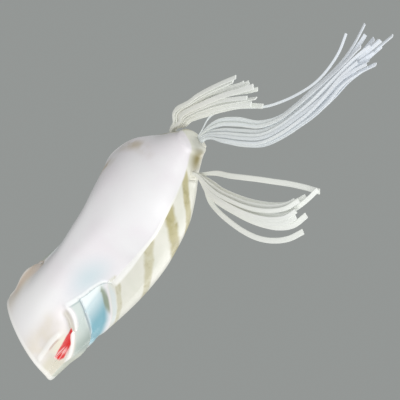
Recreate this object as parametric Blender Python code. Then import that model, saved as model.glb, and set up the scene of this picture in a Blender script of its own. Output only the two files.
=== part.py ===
"""Topwater popper: a hollow soft body with a double hook and three skirts of flat silicone strands.

The nose points along +X, the left side along +Y and the back along +Z. The origin is the middle of the flat
on the belly that the popper rests on. Distances written as "behind the mouth" run from the middle of the
mouth rim towards the tail.
"""

import math

import bmesh
import bpy
from mathutils import Matrix, Vector

MM = 0.001

# Body outline: widths and heights at the places that shape it
BODY_LENGTH = 69 * MM
MOUTH_WIDTH = 23.0 * MM
HEAD_WIDTH = 25.0 * MM
SHOULDER_WIDTH = 27.8 * MM
RUMP_WIDTH = 23.6 * MM
STERN_WIDTH = 12.6 * MM
TAIL_WIDTH = 8.0 * MM
WAIST_WIDTH = 17.4 * MM
HIP_WIDTH = 25.2 * MM
MOUTH_FLOOR = 1.8 * MM
MOUTH_TOP = 16.4 * MM
HEAD_TOP = 19.6 * MM
BACK_HEIGHT = 21.0 * MM
RUMP_TOP = 19.2 * MM
STERN_TOP = 15.8 * MM
STERN_FLOOR = 5.6 * MM
TAIL_TOP = 14.8 * MM
TAIL_FLOOR = 8.0 * MM
HEAD_FLOOR = 1.0 * MM
RUMP_FLOOR = 1.4 * MM
BELLY_FLAT = 0.4 * MM
KEEL_FULLNESS = 0.3 * MM
END_ROUND = 1.5 * MM
END_BLUNTNESS = 4
WALL = 2.0 * MM
TAIL_BLOCK = 10.0 * MM
CHAMBER_TAPER = 0.85
HEAD_STEP = 1.0 * MM
BACK_ROUNDNESS = 2.3

# Cupped mouth and the nose bore behind it
CUP_DEPTH = 8.0 * MM
CUP_FULLNESS = 4
RIM_WALL = 1.6 * MM
LIP_ROUND = 0.5 * MM
MOUTH_LEAN = 0.5
MOUTH_BLEND = 16 * MM
NOSE_WALL = 2.5 * MM

# Gill covers on both sides of the head
GILL_START = 7.0 * MM
GILL_FOOT = 3.2 * MM
LIP_REACH = 14.0 * MM
LIP_RISE = 5.6 * MM
COVER_REACH = 16.9 * MM
COVER_RISE = 9.2 * MM
COVER_HEIGHT = 0.35 * MM
BULGE_STATION = 9.5 * MM
BULGE_LENGTH = 7.5 * MM
BULGE_LEVEL = 7.5 * MM
BULGE_SPAN = 5.5 * MM
BULGE_HEIGHT = 1.6 * MM
SLIT_HEIGHT = 6.6 * MM
SLIT_LENGTH = 10.5 * MM
SLIT_WIDTH = 1.3 * MM
SLIT_DEPTH = 0.9 * MM
POCKET_END = 32.0 * MM
POCKET_TOP = 7.2 * MM
POCKET_SLOPE = 0.5
POCKET_FOOT = 5.8 * MM
POCKET_FOOT_SLOPE = 0.18
POCKET_DEPTH = 0.7 * MM
POCKET_LEAD = 6.0 * MM
POCKET_EDGE = 0.8 * MM
GILL_EDGE = 0.07
GILL_FADE = 2.0 * MM

# Double hook, its sleeve and the grommet in the nose
WIRE = 1.4 * MM
SHANK_GAP = 0.3 * MM
EYE_BORE = 2.6 * MM
EYE_SETBACK = 0.6 * MM
SHANK_END = 46.0 * MM
SHANK_SPREAD = 7.2 * MM
POINT_SPREAD = 8.4 * MM
POINT_LENGTH = 14.0 * MM
POINT_TAPER = 4.0 * MM
TIP_SHARE = 0.12
BARB_SETBACK = 3.4 * MM
BARB_LENGTH = 1.6 * MM
BARB_HEIGHT = 1.3 * MM
BARB_WIDTH = 0.6 * MM
HOOK_LIFT = math.radians(6)
SLOT_LEAD = 2.0 * MM
SLEEVE_WALL = 0.4 * MM
SLEEVE_LENGTH = 14.0 * MM
SLEEVE_PROUD = 0.5 * MM
GROMMET_WALL = 0.7 * MM
FLANGE_WIDTH = 0.9 * MM
FLANGE_THICKNESS = 0.8 * MM

# Ballast on the floor of the air chamber
BALLAST_START = 33.0 * MM
BALLAST_LENGTH = 17.0 * MM
BALLAST_WIDTH = 13.0 * MM
BALLAST_END_WIDTH = 8.4 * MM

# Eyes
EYE_DIAMETER = 5.6 * MM
EYE_SEAT = 0.8 * MM
EYE_DOME = 0.8 * MM
EYE_CHAMFER = 0.16 * MM
EYE_COLLAR = 0.1 * MM
EYE_CLEARANCE = 3.0 * MM
EYE_STATION = 13.0 * MM
EYE_ANGLE = math.radians(16)

# Skirts: strand sections, the drums that gather them and where they leave the body
LEG_STRAND_WIDTH = 1.15 * MM
LEG_STRAND_THICKNESS = 0.45 * MM
TAIL_STRAND_WIDTH = 0.8 * MM
TAIL_STRAND_THICKNESS = 0.35 * MM
STRAND_SPACE = 0.2 * MM
DRUM_FACE = 1.4 * MM
DRUM_MARGIN = 0.2 * MM
DRUM_PROUD = 0.3 * MM
STRAND_LEAD = 1.5 * MM
STRAND_STEPS = 13
ROOT_CROWDING = 1.5
LEG_SETBACK = 3.4 * MM
LEG_HEIGHT = 10.2 * MM
LEG_SPLAY = math.radians(45)
TAIL_HEIGHT = 12.2 * MM

# Gaps between pieces that fit together
FIT = 0.3 * MM
HOOK_PLAY = 0.4 * MM
SEAT_GAP = 0.15 * MM

# Shape of the body as (share of the body length, value) stations
CHINE_HALF = ((0, MOUTH_WIDTH / 2), (0.4, WAIST_WIDTH / 2), (0.67, HIP_WIDTH / 2), (0.94, STERN_WIDTH / 2),
              (1, TAIL_WIDTH / 2))
SIDE_HALF = ((0, MOUTH_WIDTH / 2), (0.17, HEAD_WIDTH / 2), (0.58, SHOULDER_WIDTH / 2),
             (0.77, RUMP_WIDTH / 2), (0.94, STERN_WIDTH / 2), (1, TAIL_WIDTH / 2))
KEEL = ((0, MOUTH_FLOOR), (0.14, HEAD_FLOOR), (0.6, -KEEL_FULLNESS), (0.8, RUMP_FLOOR),
        (0.94, STERN_FLOOR), (1, TAIL_FLOOR))
CHINE = ((0, 8.6 * MM), (0.47, 6.7 * MM), (0.71, 5.0 * MM), (0.83, 5.9 * MM), (0.94, 9.0 * MM),
         (1, 10.0 * MM))
SIDE = ((0, 9.0 * MM), (0.42, 12.2 * MM), (0.94, 11.0 * MM), (1, 11.8 * MM))
BACK = ((0, MOUTH_TOP), (0.2, HEAD_TOP), (0.49, BACK_HEIGHT), (0.74, RUMP_TOP), (0.94, STERN_TOP),
        (1, TAIL_TOP))
CREASE = ((0, 0.0), (0.14, 0.1), (0.42, 1.0), (0.72, 1.0), (0.94, 0.3), (1, 0.2))

REST_STATION = 42 * MM
MOUTH_HEIGHT = (MOUTH_FLOOR + MOUTH_TOP) / 2 - BELLY_FLAT

# Fans: plan positions in millimetres behind and outside the skirt's pivot of the two edges of each fan, and
# for each strand its share of the way from the first edge to the second, near the body and at the tip, row
# by row
RIGHT_FAN = (((8.5, 8), (16, 17), (23, 24), (29.5, 31.5)),
             ((2.5, 11), (5.5, 19.5), (11, 28.5), (21.5, 35)))
RIGHT_SHARES = (((0.0, 0.05), (0.62, 0.50)), ((0.34, 0.22), (0.70, 0.60)), ((0.42, -0.06), (0.76, 0.64)),
                ((0.48, 0.36), (1.0, 1.0)), ((0.40, 0.28), (0.66, 0.56)))
LEFT_FAN = (((5.5, 3.2), (12.5, -0.5), (19.5, -3.5), (27, -7.5)),
            ((7, -2), (13, -6), (19.5, -11), (27.5, -16.5)))
LEFT_SHARES = (((0.0, 0.05), (0.90, 0.90)), ((0.06, 0.18), (0.80, 0.78)), ((0.03, 0.30), (0.86, 1.0)),
               ((0.02, 0.0), (0.65, 0.66)), ((0.04, 0.22), (0.6, 0.48)))
TAIL_FAN = (((8.5, 1), (13.5, 6.5), (21, 12), (30, 14.5), (41, 17.5), (51.5, 16.5)),
            ((6, 5.5), (12.5, 13), (20.5, 17.5), (28.5, 20.5), (40, 21.5), (51.5, 24.5)))
TAIL_SHARES = (((0.0, 0.0), (0.25, 0.27), (0.5, 0.53), (0.75, 0.8), (1.0, 1.06)),
               ((0.04, -0.08), (0.29, 0.2), (0.54, 0.46), (0.79, 0.73), (1.04, 1.0)),
               ((0.1, 0.08), (0.4, 0.38), (0.68, 0.66), (0.96, 0.92)),
               ((0.14, 0.22), (0.42, 0.5), (0.7, 0.76), (0.95, 1.02)),
               ((-0.45, -0.12), (0.08, 0.16), (0.33, 0.42), (0.58, 0.68), (0.83, 0.94)))
LEG_DROOP = 1.5 * MM
LEG_TIP_DROOP = 0.9 * MM
TAIL_RISE = 1.8 * MM
TAIL_DROOP = 1.6 * MM
ROW_SPREAD = 0.35
LENGTH_SPREAD = 0.14


def along(stations, s):
    """Value at distance s behind the mouth of a smooth curve through the stations, without overshoot."""
    knots = [share * BODY_LENGTH for share, value in stations]
    values = [value for share, value in stations]
    s = min(max(s, knots[0]), knots[-1])
    steps = [b - a for a, b in zip(knots, knots[1:])]
    rises = [(b - a) / step for a, b, step in zip(values, values[1:], steps)]
    slopes = [rises[0]]
    for before, after in zip(rises, rises[1:]):
        slopes.append(2 * before * after / (before + after) if before * after > 0 else 0.0)
    slopes.append(rises[-1])
    i = max(k for k in range(len(steps)) if knots[k] <= s)
    t = (s - knots[i]) / steps[i]
    start = (1 + 2 * t) * (1 - t) ** 2 * values[i] + t * (1 - t) ** 2 * steps[i] * slopes[i]
    end = t * t * (3 - 2 * t) * values[i + 1] + t * t * (t - 1) * steps[i] * slopes[i + 1]
    return start + end


def ease(value, width):
    """0 below zero, 1 above width, smooth between."""
    t = min(max(value / width, 0.0), 1.0)
    return t * t * (3 - 2 * t)


def half_section(s, belly_steps, side_steps, back_steps):
    """Points (y, z) of the plain left half of the body's section, from the keel round to the back."""
    chine_y, chine_z = along(CHINE_HALF, s), along(CHINE, s)
    side_y, side_z = along(SIDE_HALF, s), along(SIDE, s)
    keel_z, back_z = along(KEEL, s), along(BACK, s)
    power = 1 + along(CREASE, s)
    points = []
    for i in range(belly_steps):
        angle = math.pi / 2 * i / belly_steps
        points.append((chine_y * math.sin(angle), chine_z - (chine_z - keel_z) * math.cos(angle) ** power))
    for i in range(side_steps):
        t = i / side_steps
        points.append((chine_y + (side_y - chine_y) * (1 - (1 - t) ** 2), chine_z + (side_z - chine_z) * t))
    for i in range(back_steps):
        angle = math.pi / 2 * i / back_steps
        y = side_y * math.cos(angle) ** (2 / BACK_ROUNDNESS)
        points.append((y, side_z + (back_z - side_z) * math.sin(angle) ** (2 / BACK_ROUNDNESS)))
    points.append((0.0, back_z))
    return [(y, z - BELLY_FLAT) for y, z in points]


def outward(points):
    """Outward unit normals in the section's plane at the points of a half section."""
    normals = []
    for i in range(len(points)):
        before, after = points[max(i - 1, 0)], points[min(i + 1, len(points) - 1)]
        run, rise = after[0] - before[0], after[1] - before[1]
        size = math.hypot(run, rise)
        normals.append((rise / size, -run / size))
    normals[0], normals[-1] = (0.0, -1.0), (0.0, 1.0)
    return normals


def gill_relief(s, z):
    """How far the gill cover, cheek, slit and ear pocket stand out of the plain side, at a height z."""
    back, up = s - GILL_START, max(z - GILL_FOOT, 0.0)
    lip = math.hypot(max(back, 0.0) / LIP_REACH, up / LIP_RISE)
    cover = math.hypot(max(back, 0.0) / COVER_REACH, up / COVER_RISE)
    bulge = 1 - math.hypot((s - BULGE_STATION) / BULGE_LENGTH, (z - BULGE_LEVEL) / BULGE_SPAN)
    band = ease(lip - 1 + GILL_EDGE, GILL_EDGE) * ease(1 + GILL_EDGE / 2 - cover, GILL_EDGE)
    band_ends = ease(back + GILL_FADE, 2 * GILL_FADE) * ease(z - GILL_FOOT + GILL_FADE / 2, GILL_FADE)
    slit_ends = ease(back + GILL_FADE / 2, GILL_FADE / 2) * ease(SLIT_LENGTH - back, GILL_FADE)
    slit = slit_ends * ease(SLIT_WIDTH - abs(z - SLIT_HEIGHT), SLIT_WIDTH)
    pocket_top = POCKET_TOP + (POCKET_END - s) * POCKET_SLOPE
    pocket_foot = POCKET_FOOT - (POCKET_END - s) * POCKET_FOOT_SLOPE
    pocket_rise = ease(pocket_top - z, POCKET_EDGE) * ease(z - pocket_foot, POCKET_EDGE)
    pocket = ease(cover - 1, GILL_EDGE) * ease(back - POCKET_LEAD, POCKET_LEAD / 2) * pocket_rise
    raised = BULGE_HEIGHT * ease(bulge, 1) + COVER_HEIGHT * band * band_ends
    return raised - SLIT_DEPTH * slit - POCKET_DEPTH * pocket


def station_x(s):
    return REST_STATION - s


def mouth_lean(s):
    """How far the front stations lean forward for each unit of height."""
    return MOUTH_LEAN * max(0.0, 1 - s / MOUTH_BLEND) ** 1.5


def body_ring(s):
    """Closed loop of outer points at one station; the front stations lean with the mouth."""
    lean = mouth_lean(s)
    half = half_section(s, 8, 5, 6)
    points = []
    for (y, z), (ny, nz) in zip(half, outward(half)):
        push = gill_relief(s, z)
        y, z = y + push * ny, max(z + push * nz, 0.0)
        points.append(Vector((station_x(s) + lean * (z - MOUTH_HEIGHT), y, z)))
    return points + [Vector((p.x, -p.y, p.z)) for p in reversed(points[1:-1])]


def chamber_ring(s, inset, steps=(5, 2, 4)):
    """Closed loop a wall's thickness inside the body: the plain section drawn in towards its middle."""
    half = half_section(s, *steps)
    floor, roof = half[0][1], half[-1][1]
    middle = (floor + roof) / 2
    narrow, flatten = 1 - inset / max(y for y, z in half), 1 - 2 * inset / (roof - floor)
    points = [Vector((station_x(s), y * narrow, middle + (z - middle) * flatten)) for y, z in half]
    return points + [Vector((p.x, -p.y, p.z)) for p in reversed(points[1:-1])]


def scaled_ring(ring, centre, share, forward):
    """A ring drawn in towards a centre and moved along X."""
    return [centre + (p - centre) * share + Vector((forward, 0, 0)) for p in ring]


def skin_rings(name, rings):
    """Mesh that bridges the rings in order and closes both ends."""
    mesh = bpy.data.meshes.new(name)
    bm = bmesh.new()
    loops = [[bm.verts.new(p) for p in ring] for ring in rings]
    for near, far in zip(loops, loops[1:]):
        for i in range(len(near)):
            j = (i + 1) % len(near)
            bm.faces.new((near[i], near[j], far[j], far[i]))
    ends = [bm.faces.new(loops[0]), bm.faces.new(loops[-1])]
    bmesh.ops.poke(bm, faces=ends)
    bmesh.ops.recalc_face_normals(bm, faces=bm.faces)
    bm.to_mesh(mesh)
    bm.free()
    return mesh


def material(name, colour, roughness, metallic=0.0):
    made = bpy.data.materials.new(name)
    made.use_nodes = True
    shader = made.node_tree.nodes["Principled BSDF"]
    shader.inputs["Base Color"].default_value = (*colour, 1)
    shader.inputs["Roughness"].default_value = roughness
    shader.inputs["Metallic"].default_value = metallic
    return made


def place(name, data, finish=None, parent=None):
    """Put a mesh or curve in the scene under its piece name, carried by an empty if one is given."""
    obj = bpy.data.objects.new(name, data)
    bpy.context.scene.collection.objects.link(obj)
    if finish:
        data.materials.append(finish)
    if parent:
        obj.parent = parent
        obj.matrix_parent_inverse = Matrix.Translation(parent.location).inverted()
    return obj


def pivot(name, location):
    empty = bpy.data.objects.new(name, None)
    empty.location = location
    bpy.context.scene.collection.objects.link(empty)
    return empty


def turned(profile, axis, origin, sides=24):
    """Rings of a solid of revolution: (along, radius) points about an axis through an origin."""
    frame = axis.to_track_quat("Z", "Y").to_matrix().to_4x4()
    rings = []
    for height, radius in profile:
        turn = [2 * math.pi * k / sides for k in range(sides)]
        ring = [Vector((radius * math.cos(a), radius * math.sin(a), height)) for a in turn]
        rings.append([origin + frame @ p for p in ring])
    return rings


def tube(name, profile, axis, origin, sides=24):
    """Hollow turned piece: a closed (along, radius) outline swept round the axis."""
    rings = turned(profile, axis, origin, sides)
    mesh = bpy.data.meshes.new(name)
    bm = bmesh.new()
    loops = [[bm.verts.new(p) for p in ring] for ring in rings]
    for near, far in zip(loops, loops[1:] + loops[:1]):
        for i in range(sides):
            j = (i + 1) % sides
            bm.faces.new((near[i], near[j], far[j], far[i]))
    bmesh.ops.recalc_face_normals(bm, faces=bm.faces)
    bm.to_mesh(mesh)
    bm.free()
    return mesh


def hull(name, points):
    """Convex solid round a set of points."""
    mesh = bpy.data.meshes.new(name)
    bm = bmesh.new()
    for p in points:
        bm.verts.new(p)
    result = bmesh.ops.convex_hull(bm, input=bm.verts)
    loose = [v for v in result["geom_interior"] if isinstance(v, bmesh.types.BMVert)]
    bmesh.ops.delete(bm, geom=loose, context="VERTS")
    bmesh.ops.recalc_face_normals(bm, faces=bm.faces)
    bm.to_mesh(mesh)
    bm.free()
    return mesh


def combine(obj, name, data, operation):
    """Boolean a hidden helper solid with a piece."""
    helper = place(name, data)
    helper.hide_render = True
    helper.display_type = "WIRE"
    modifier = obj.modifiers.new(name, "BOOLEAN")
    modifier.operation = operation
    modifier.solver = "EXACT"
    modifier.object = helper


def smooth_path(points, count):
    """Evenly counted points on a smooth curve through the given points, without loops at short spans."""
    spans = list(zip(points, points[1:]))
    lengths = [(b - a).length for a, b in spans]
    headings = [(b - a).normalized() for a, b in spans]
    tangents = [headings[0]]
    for i in range(1, len(spans)):
        tangents.append((headings[i - 1] + headings[i]).normalized())
    tangents.append(headings[-1])
    path = []
    for k in range(count + 1):
        i = min(k * len(spans) // count, len(spans) - 1)
        t = k * len(spans) / count - i
        near, far = tangents[i] * lengths[i], tangents[i + 1] * lengths[i]
        start = points[i] * (1 + 2 * t) * (1 - t) ** 2 + near * t * (1 - t) ** 2
        path.append(start + points[i + 1] * t * t * (3 - 2 * t) + far * t * t * (t - 1))
    return path


def surface_point(s, z):
    """Left point of the plain body at a station and a height on its side or back."""
    half = half_section(s, 8, 12, 12)[8:]
    for (y0, z0), (y1, z1) in zip(half, half[1:]):
        if z0 <= z <= z1:
            return Vector((station_x(s), y0 + (y1 - y0) * (z - z0) / (z1 - z0), z))
    return Vector((station_x(s), half[-1][0], half[-1][1]))


# Lines that several pieces share
NOSE_AXIS = Vector((1, 0, 0))
HOOK_PIVOT = Vector((station_x(CUP_DEPTH + NOSE_WALL / 2), 0, MOUTH_HEIGHT))
SHANK_OFFSET = (WIRE + SHANK_GAP) / 2
SLEEVE_BORE = SHANK_OFFSET + WIRE / 2 + HOOK_PLAY / 2
SLEEVE_RADIUS = SLEEVE_BORE + SLEEVE_WALL
GROMMET_BORE = SLEEVE_RADIUS + HOOK_PLAY
GROMMET_RADIUS = GROMMET_BORE + GROMMET_WALL
FLANGE_RADIUS = GROMMET_RADIUS + FLANGE_WIDTH
NOSE_BORE = GROMMET_RADIUS + FIT
NOSE_FRONT = station_x(CUP_DEPTH)
NOSE_REAR = station_x(CUP_DEPTH + NOSE_WALL)
FLANGE_FRONT = NOSE_FRONT + FIT + FLANGE_THICKNESS
SLEEVE_FRONT = FLANGE_FRONT + SLEEVE_PROUD
SLEEVE_REAR = SLEEVE_FRONT - SLEEVE_LENGTH


def hook_point_height():
    """Height of the two point wires, clear of the highest back below them."""
    first, last = SHANK_END - POINT_LENGTH, SHANK_END
    heights = []
    for k in range(9):
        s = first + (last - first) * k / 8
        for reach in (-WIRE, 0.0, WIRE):
            half = half_section(s, 8, 5, 24)
            y = POINT_SPREAD / 2 + reach
            heights.append(max(z for py, z in half if py >= y))
    return max(heights) + WIRE / 2 + FIT


def hook_path():
    """Centre line of the left half of the hook, from the front of its eye to its point."""
    loop = (EYE_BORE + WIRE) / 2
    centre = station_x(EYE_SETBACK + WIRE / 2 + loop)
    points = []
    for degrees in range(0, 136, 15):
        angle = math.radians(degrees)
        points.append(Vector((centre + loop * math.cos(angle), loop * math.sin(angle), MOUTH_HEIGHT)))
    leave = points[-1]
    drop = leave.y - SHANK_OFFSET
    for t in (0.25, 0.5, 0.75, 1.0):
        points.append(Vector((leave.x - 2 * drop * t, SHANK_OFFSET + drop * (1 - t) ** 2, MOUTH_HEIGHT)))
    shank = Vector((station_x(SHANK_END), SHANK_SPREAD / 2, MOUTH_HEIGHT))
    for t in (0.0, 0.15, 0.3, 0.45, 0.6, 0.75, 0.9):
        x = SLEEVE_REAR + (shank.x - SLEEVE_REAR) * t
        points.append(Vector((x, SHANK_OFFSET + (shank.y - SHANK_OFFSET) * ease(t, 1), MOUTH_HEIGHT)))
    point_side = Vector((shank.x, POINT_SPREAD / 2, hook_point_height()))
    middle, radius = (shank + point_side) / 2, (point_side - shank).length / 2
    across = (point_side - shank).normalized()
    for degrees in range(0, 181, 12):
        angle = math.radians(degrees)
        points.append(middle - across * radius * math.cos(angle) - NOSE_AXIS * radius * math.sin(angle))
    straight = POINT_LENGTH - POINT_TAPER
    for reach in (straight / 2, straight, straight + POINT_TAPER / 2, POINT_LENGTH):
        points.append(point_side + NOSE_AXIS * reach)
    return points


def make_hook(carrier, finish):
    left = hook_path()
    mirrored = [Vector((p.x, -p.y, p.z)) for p in left[1:]]
    path = list(reversed(left)) + mirrored
    curve = bpy.data.curves.new("double_hook", "CURVE")
    curve.dimensions = "3D"
    curve.bevel_depth = WIRE / 2
    curve.bevel_resolution = 2
    curve.use_fill_caps = True
    spline = curve.splines.new("POLY")
    spline.points.add(len(path) - 1)
    for point, position in zip(spline.points, path):
        point.co = (*position, 1)
    for end, before_end in ((0, 1), (-1, -2)):
        spline.points[end].radius = TIP_SHARE
        spline.points[before_end].radius = (1 + TIP_SHARE) / 2
    wire = bpy.data.objects.new("hook_wire", curve)
    bpy.context.scene.collection.objects.link(wire)
    mesh = bpy.data.meshes.new_from_object(wire.evaluated_get(bpy.context.evaluated_depsgraph_get()))
    bpy.data.objects.remove(wire)
    bm = bmesh.new()
    bm.from_mesh(mesh)
    bmesh.ops.remove_doubles(bm, verts=bm.verts, dist=0.00001)
    bmesh.ops.recalc_face_normals(bm, faces=bm.faces)
    bm.to_mesh(mesh)
    bm.free()
    mesh.materials.clear()
    hook = place("double_hook", mesh, finish, carrier)
    tip = left[-1]
    for side, name in ((1, "left_barb"), (-1, "right_barb")):
        root = Vector((tip.x - BARB_SETBACK, side * tip.y, tip.z))
        peak = root + Vector((-BARB_LENGTH, 0, BARB_HEIGHT))
        corners = [root, peak]
        for lateral in (-BARB_WIDTH / 2, BARB_WIDTH / 2):
            corners.append(root + Vector((-BARB_LENGTH / 2, lateral, 0)))
            corners.append(peak.lerp(root, 0.3) + Vector((-BARB_LENGTH / 4, lateral, 0)))
        combine(hook, name, hull(name, corners), "UNION")
    return left


def wire_hull(left, side):
    """Space that one hook bend needs through the back, from rest to the end of the lift."""
    reach = WIRE / 2 + HOOK_PLAY
    high = [p for p in left if p.z > BACK_HEIGHT / 2 and p.x < station_x(SHANK_END - SLOT_LEAD)]
    points = []
    for turn in (0.0, HOOK_LIFT / 2, HOOK_LIFT):
        lift = Matrix.Rotation(turn, 3, "Y")
        for p in high:
            moved = HOOK_PIVOT + lift @ (p - HOOK_PIVOT)
            for corner in ((-1, -1), (-1, 1), (1, -1), (1, 1)):
                along_x, along_y = moved.x + reach * corner[0], side * moved.y + reach * corner[1]
                points.append(Vector((along_x, along_y, moved.z)))
    top = max(p.z for p in points)
    return points + [Vector((p.x, p.y, top + WIRE)) for p in points]


def skirt_size(width, thickness, columns, rows):
    """Spacing of the strand roots, and the radius and height of the drum that gathers them."""
    across, up = width + STRAND_SPACE, thickness + STRAND_SPACE
    half_width = (columns * across) / 2 + DRUM_MARGIN
    return across, up, math.hypot(half_width, DRUM_FACE), rows * up + 2 * DRUM_MARGIN


def drum_points(pivot_at, axis, radius, height, face):
    """Corner points of a drum on a vertical axis, cut flat where its face looks out."""
    limit = math.acos(face / radius)
    start = math.atan2(axis.y, axis.x)
    points = []
    for k in range(25):
        angle = start + limit + (2 * math.pi - 2 * limit) * k / 24
        for z in (-height / 2, height / 2):
            points.append(pivot_at + Vector((radius * math.cos(angle), radius * math.sin(angle), z)))
    return points


def round_cut(pivot_at, radius, height):
    """Corner points of the full round seat that a drum turns in."""
    points = []
    for k in range(32):
        angle = 2 * math.pi * k / 32
        for z in (-height / 2, height / 2):
            points.append(pivot_at + Vector((radius * math.cos(angle), radius * math.sin(angle), z)))
    return points


def strand_profile(name, width, thickness):
    """Flat rectangular section that a skirt's strands are drawn from."""
    curve = bpy.data.curves.new(name, "CURVE")
    curve.dimensions = "2D"
    spline = curve.splines.new("POLY")
    spline.points.add(3)
    for point, (x, y) in zip(spline.points, ((-1, -1), (-1, 1), (1, 1), (1, -1))):
        point.co = (x * width / 2, y * thickness / 2, 0, 1)
    spline.use_cyclic_u = True
    guide = place(name, curve)
    guide.hide_render = True
    guide.display_type = "WIRE"
    return guide


def make_strand(name, path, profile, finish, carrier):
    curve = bpy.data.curves.new(name, "CURVE")
    curve.dimensions = "3D"
    curve.twist_mode = "Z_UP"
    curve.bevel_mode = "OBJECT"
    curve.bevel_object = profile
    curve.use_fill_caps = True
    spline = curve.splines.new("POLY")
    spline.points.add(len(path) - 1)
    for point, position in zip(spline.points, path):
        point.co = (*position, 1)
    return place(name, curve, finish, carrier)


def make_skirt(name, pivot_at, axis, side, fan, shares, section, rises, finish, drum_finish):
    """Drum and strands of one skirt, all carried by an empty on the skirt's swing axis."""
    width, thickness = section
    columns = max(len(row) for row in shares)
    across, up, radius, height = skirt_size(width, thickness, columns, len(shares))
    carrier = pivot(name + "_pivot", pivot_at)
    drum = hull(name + "_bead", drum_points(pivot_at, axis, radius, height, DRUM_FACE))
    place(name + "_bead", drum, drum_finish, carrier)
    profile = strand_profile(name + "_section", width, thickness)
    lateral = Vector((-axis.y, axis.x, 0))
    number = 0
    for row, row_shares in enumerate(shares):
        level = (row - (len(shares) - 1) / 2) * up
        for column, (near, tip) in enumerate(row_shares):
            number += 1
            offset = (column - (len(row_shares) - 1) / 2) * across
            root = pivot_at + axis * (DRUM_FACE + SEAT_GAP) + lateral * offset + Vector((0, 0, level))
            points = [root, root + axis * STRAND_LEAD]
            for k, (first, second) in enumerate(zip(*fan)):
                reach = (k + 1) / len(fan[0])
                share = near + (tip - near) * reach
                back, out = Vector(first).lerp(Vector(second), share) * MM
                height_here = level * (1 + ROW_SPREAD * reach) + along_rises(rises, reach)
                points.append(pivot_at + Vector((-back, side * out, height_here)))
            path = smooth_path(points, 4 * STRAND_STEPS)
            cut = 1 - LENGTH_SPREAD * ((number * 0.618) % 1)
            keep = trim(path, cut, STRAND_STEPS)
            make_strand(f"{name}_strand_{number:02d}", keep, profile, finish, carrier)


def along_rises(rises, reach):
    """Height of a skirt's middle above its pivot: a first rise or fall, then a second."""
    return rises[0] * ease(reach, 0.5) + rises[1] * ease(reach - 0.4, 0.6)


def trim(path, share, steps):
    """Points along the first share of a path's length, closest together at its start."""
    lengths = [0.0]
    for a, b in zip(path, path[1:]):
        lengths.append(lengths[-1] + (b - a).length)
    points = []
    for k in range(steps + 1):
        goal = lengths[-1] * share * (k / steps) ** ROOT_CROWDING
        i = max(n for n in range(len(path) - 1) if lengths[n] <= goal)
        points.append(path[i].lerp(path[i + 1], (goal - lengths[i]) / (lengths[i + 1] - lengths[i])))
    return points


def make_body(finish):
    """Outer moulding with its cup, before the chamber and the holes are cut."""
    head_steps = round((POCKET_END + GILL_FADE / 2) / HEAD_STEP)
    head_end, rear_steps = head_steps * HEAD_STEP, 16
    stations = [0.0, 1.5 * HEAD_STEP] + [k * HEAD_STEP for k in range(3, head_steps + 1)]
    stations += [head_end + (BODY_LENGTH - head_end) * k / rear_steps for k in range(1, rear_steps + 1)]
    rim = body_ring(0.0)
    mouth = Vector((station_x(0), 0, MOUTH_HEIGHT))
    inner = 1 - RIM_WALL / (MOUTH_WIDTH / 2)
    rings = []
    for share in (0.25, 0.5, 0.7, 0.85, 0.95):
        rings.append(scaled_ring(rim, mouth, inner * share, -CUP_DEPTH * (1 - share ** CUP_FULLNESS)))
    rings.append(scaled_ring(rim, mouth, inner, 0.0))
    rings.append(scaled_ring(rim, mouth, (1 + inner) / 2, LIP_ROUND))
    rings += [body_ring(s) for s in stations]
    last = rings[-1]
    middle = Vector((station_x(BODY_LENGTH), 0, (TAIL_FLOOR + TAIL_TOP) / 2 - BELLY_FLAT))
    for degrees in (20, 45, 70):
        angle = math.radians(degrees)
        share, reach = (part ** (2 / END_BLUNTNESS) for part in (math.cos(angle), math.sin(angle)))
        rings.append(scaled_ring(last, middle, share, -END_ROUND * reach))
    return place("body_shell", skin_rings("body_shell", rings), finish)


def chamber_rings(inset):
    """Rings of the air chamber between the nose wall and the tail wall."""
    front = CUP_DEPTH + NOSE_WALL
    rear = BODY_LENGTH - TAIL_BLOCK
    rings = []
    for k in range(15):
        s = front + (rear - front) * k / 14
        ring = chamber_ring(s, inset)
        if k in (0, 14):
            centre = sum(ring, Vector()) / len(ring)
            ring = scaled_ring(ring, centre, CHAMBER_TAPER, 0.0)
        rings.append(ring)
    return rings


def make_ballast(finish):
    """Boat-shaped weight that follows the chamber floor, flat on top just under the shanks."""
    top = MOUTH_HEIGHT - WIRE / 2 - FIT
    stations = 8
    rings = []
    for k in range(stations + 1):
        s = BALLAST_START + BALLAST_LENGTH * k / stations
        fullness = math.sin(math.pi * k / stations)
        limit = (BALLAST_END_WIDTH + (BALLAST_WIDTH - BALLAST_END_WIDTH) * fullness) / 2
        floor = [p for p in chamber_ring(s, WALL + FIT, (12, 4, 4)) if p.z < top and 0 <= p.y]
        floor.sort(key=lambda p: p.y)
        left = []
        for n in range(6):
            y = limit * n / 5
            low = max((p for p in floor if p.y <= y), key=lambda p: p.y)
            high = min((p for p in floor if p.y >= y), key=lambda p: p.y, default=low)
            t = (y - low.y) / (high.y - low.y) if high.y > low.y else 0.0
            left.append(low.lerp(high, t))
        left.append(Vector((left[-1].x, limit, top)))
        right = [Vector((p.x, -p.y, p.z)) for p in reversed(left[1:])]
        rings.append(left + right)
    return place("ballast_weight", skin_rings("ballast_weight", rings), finish)


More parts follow.
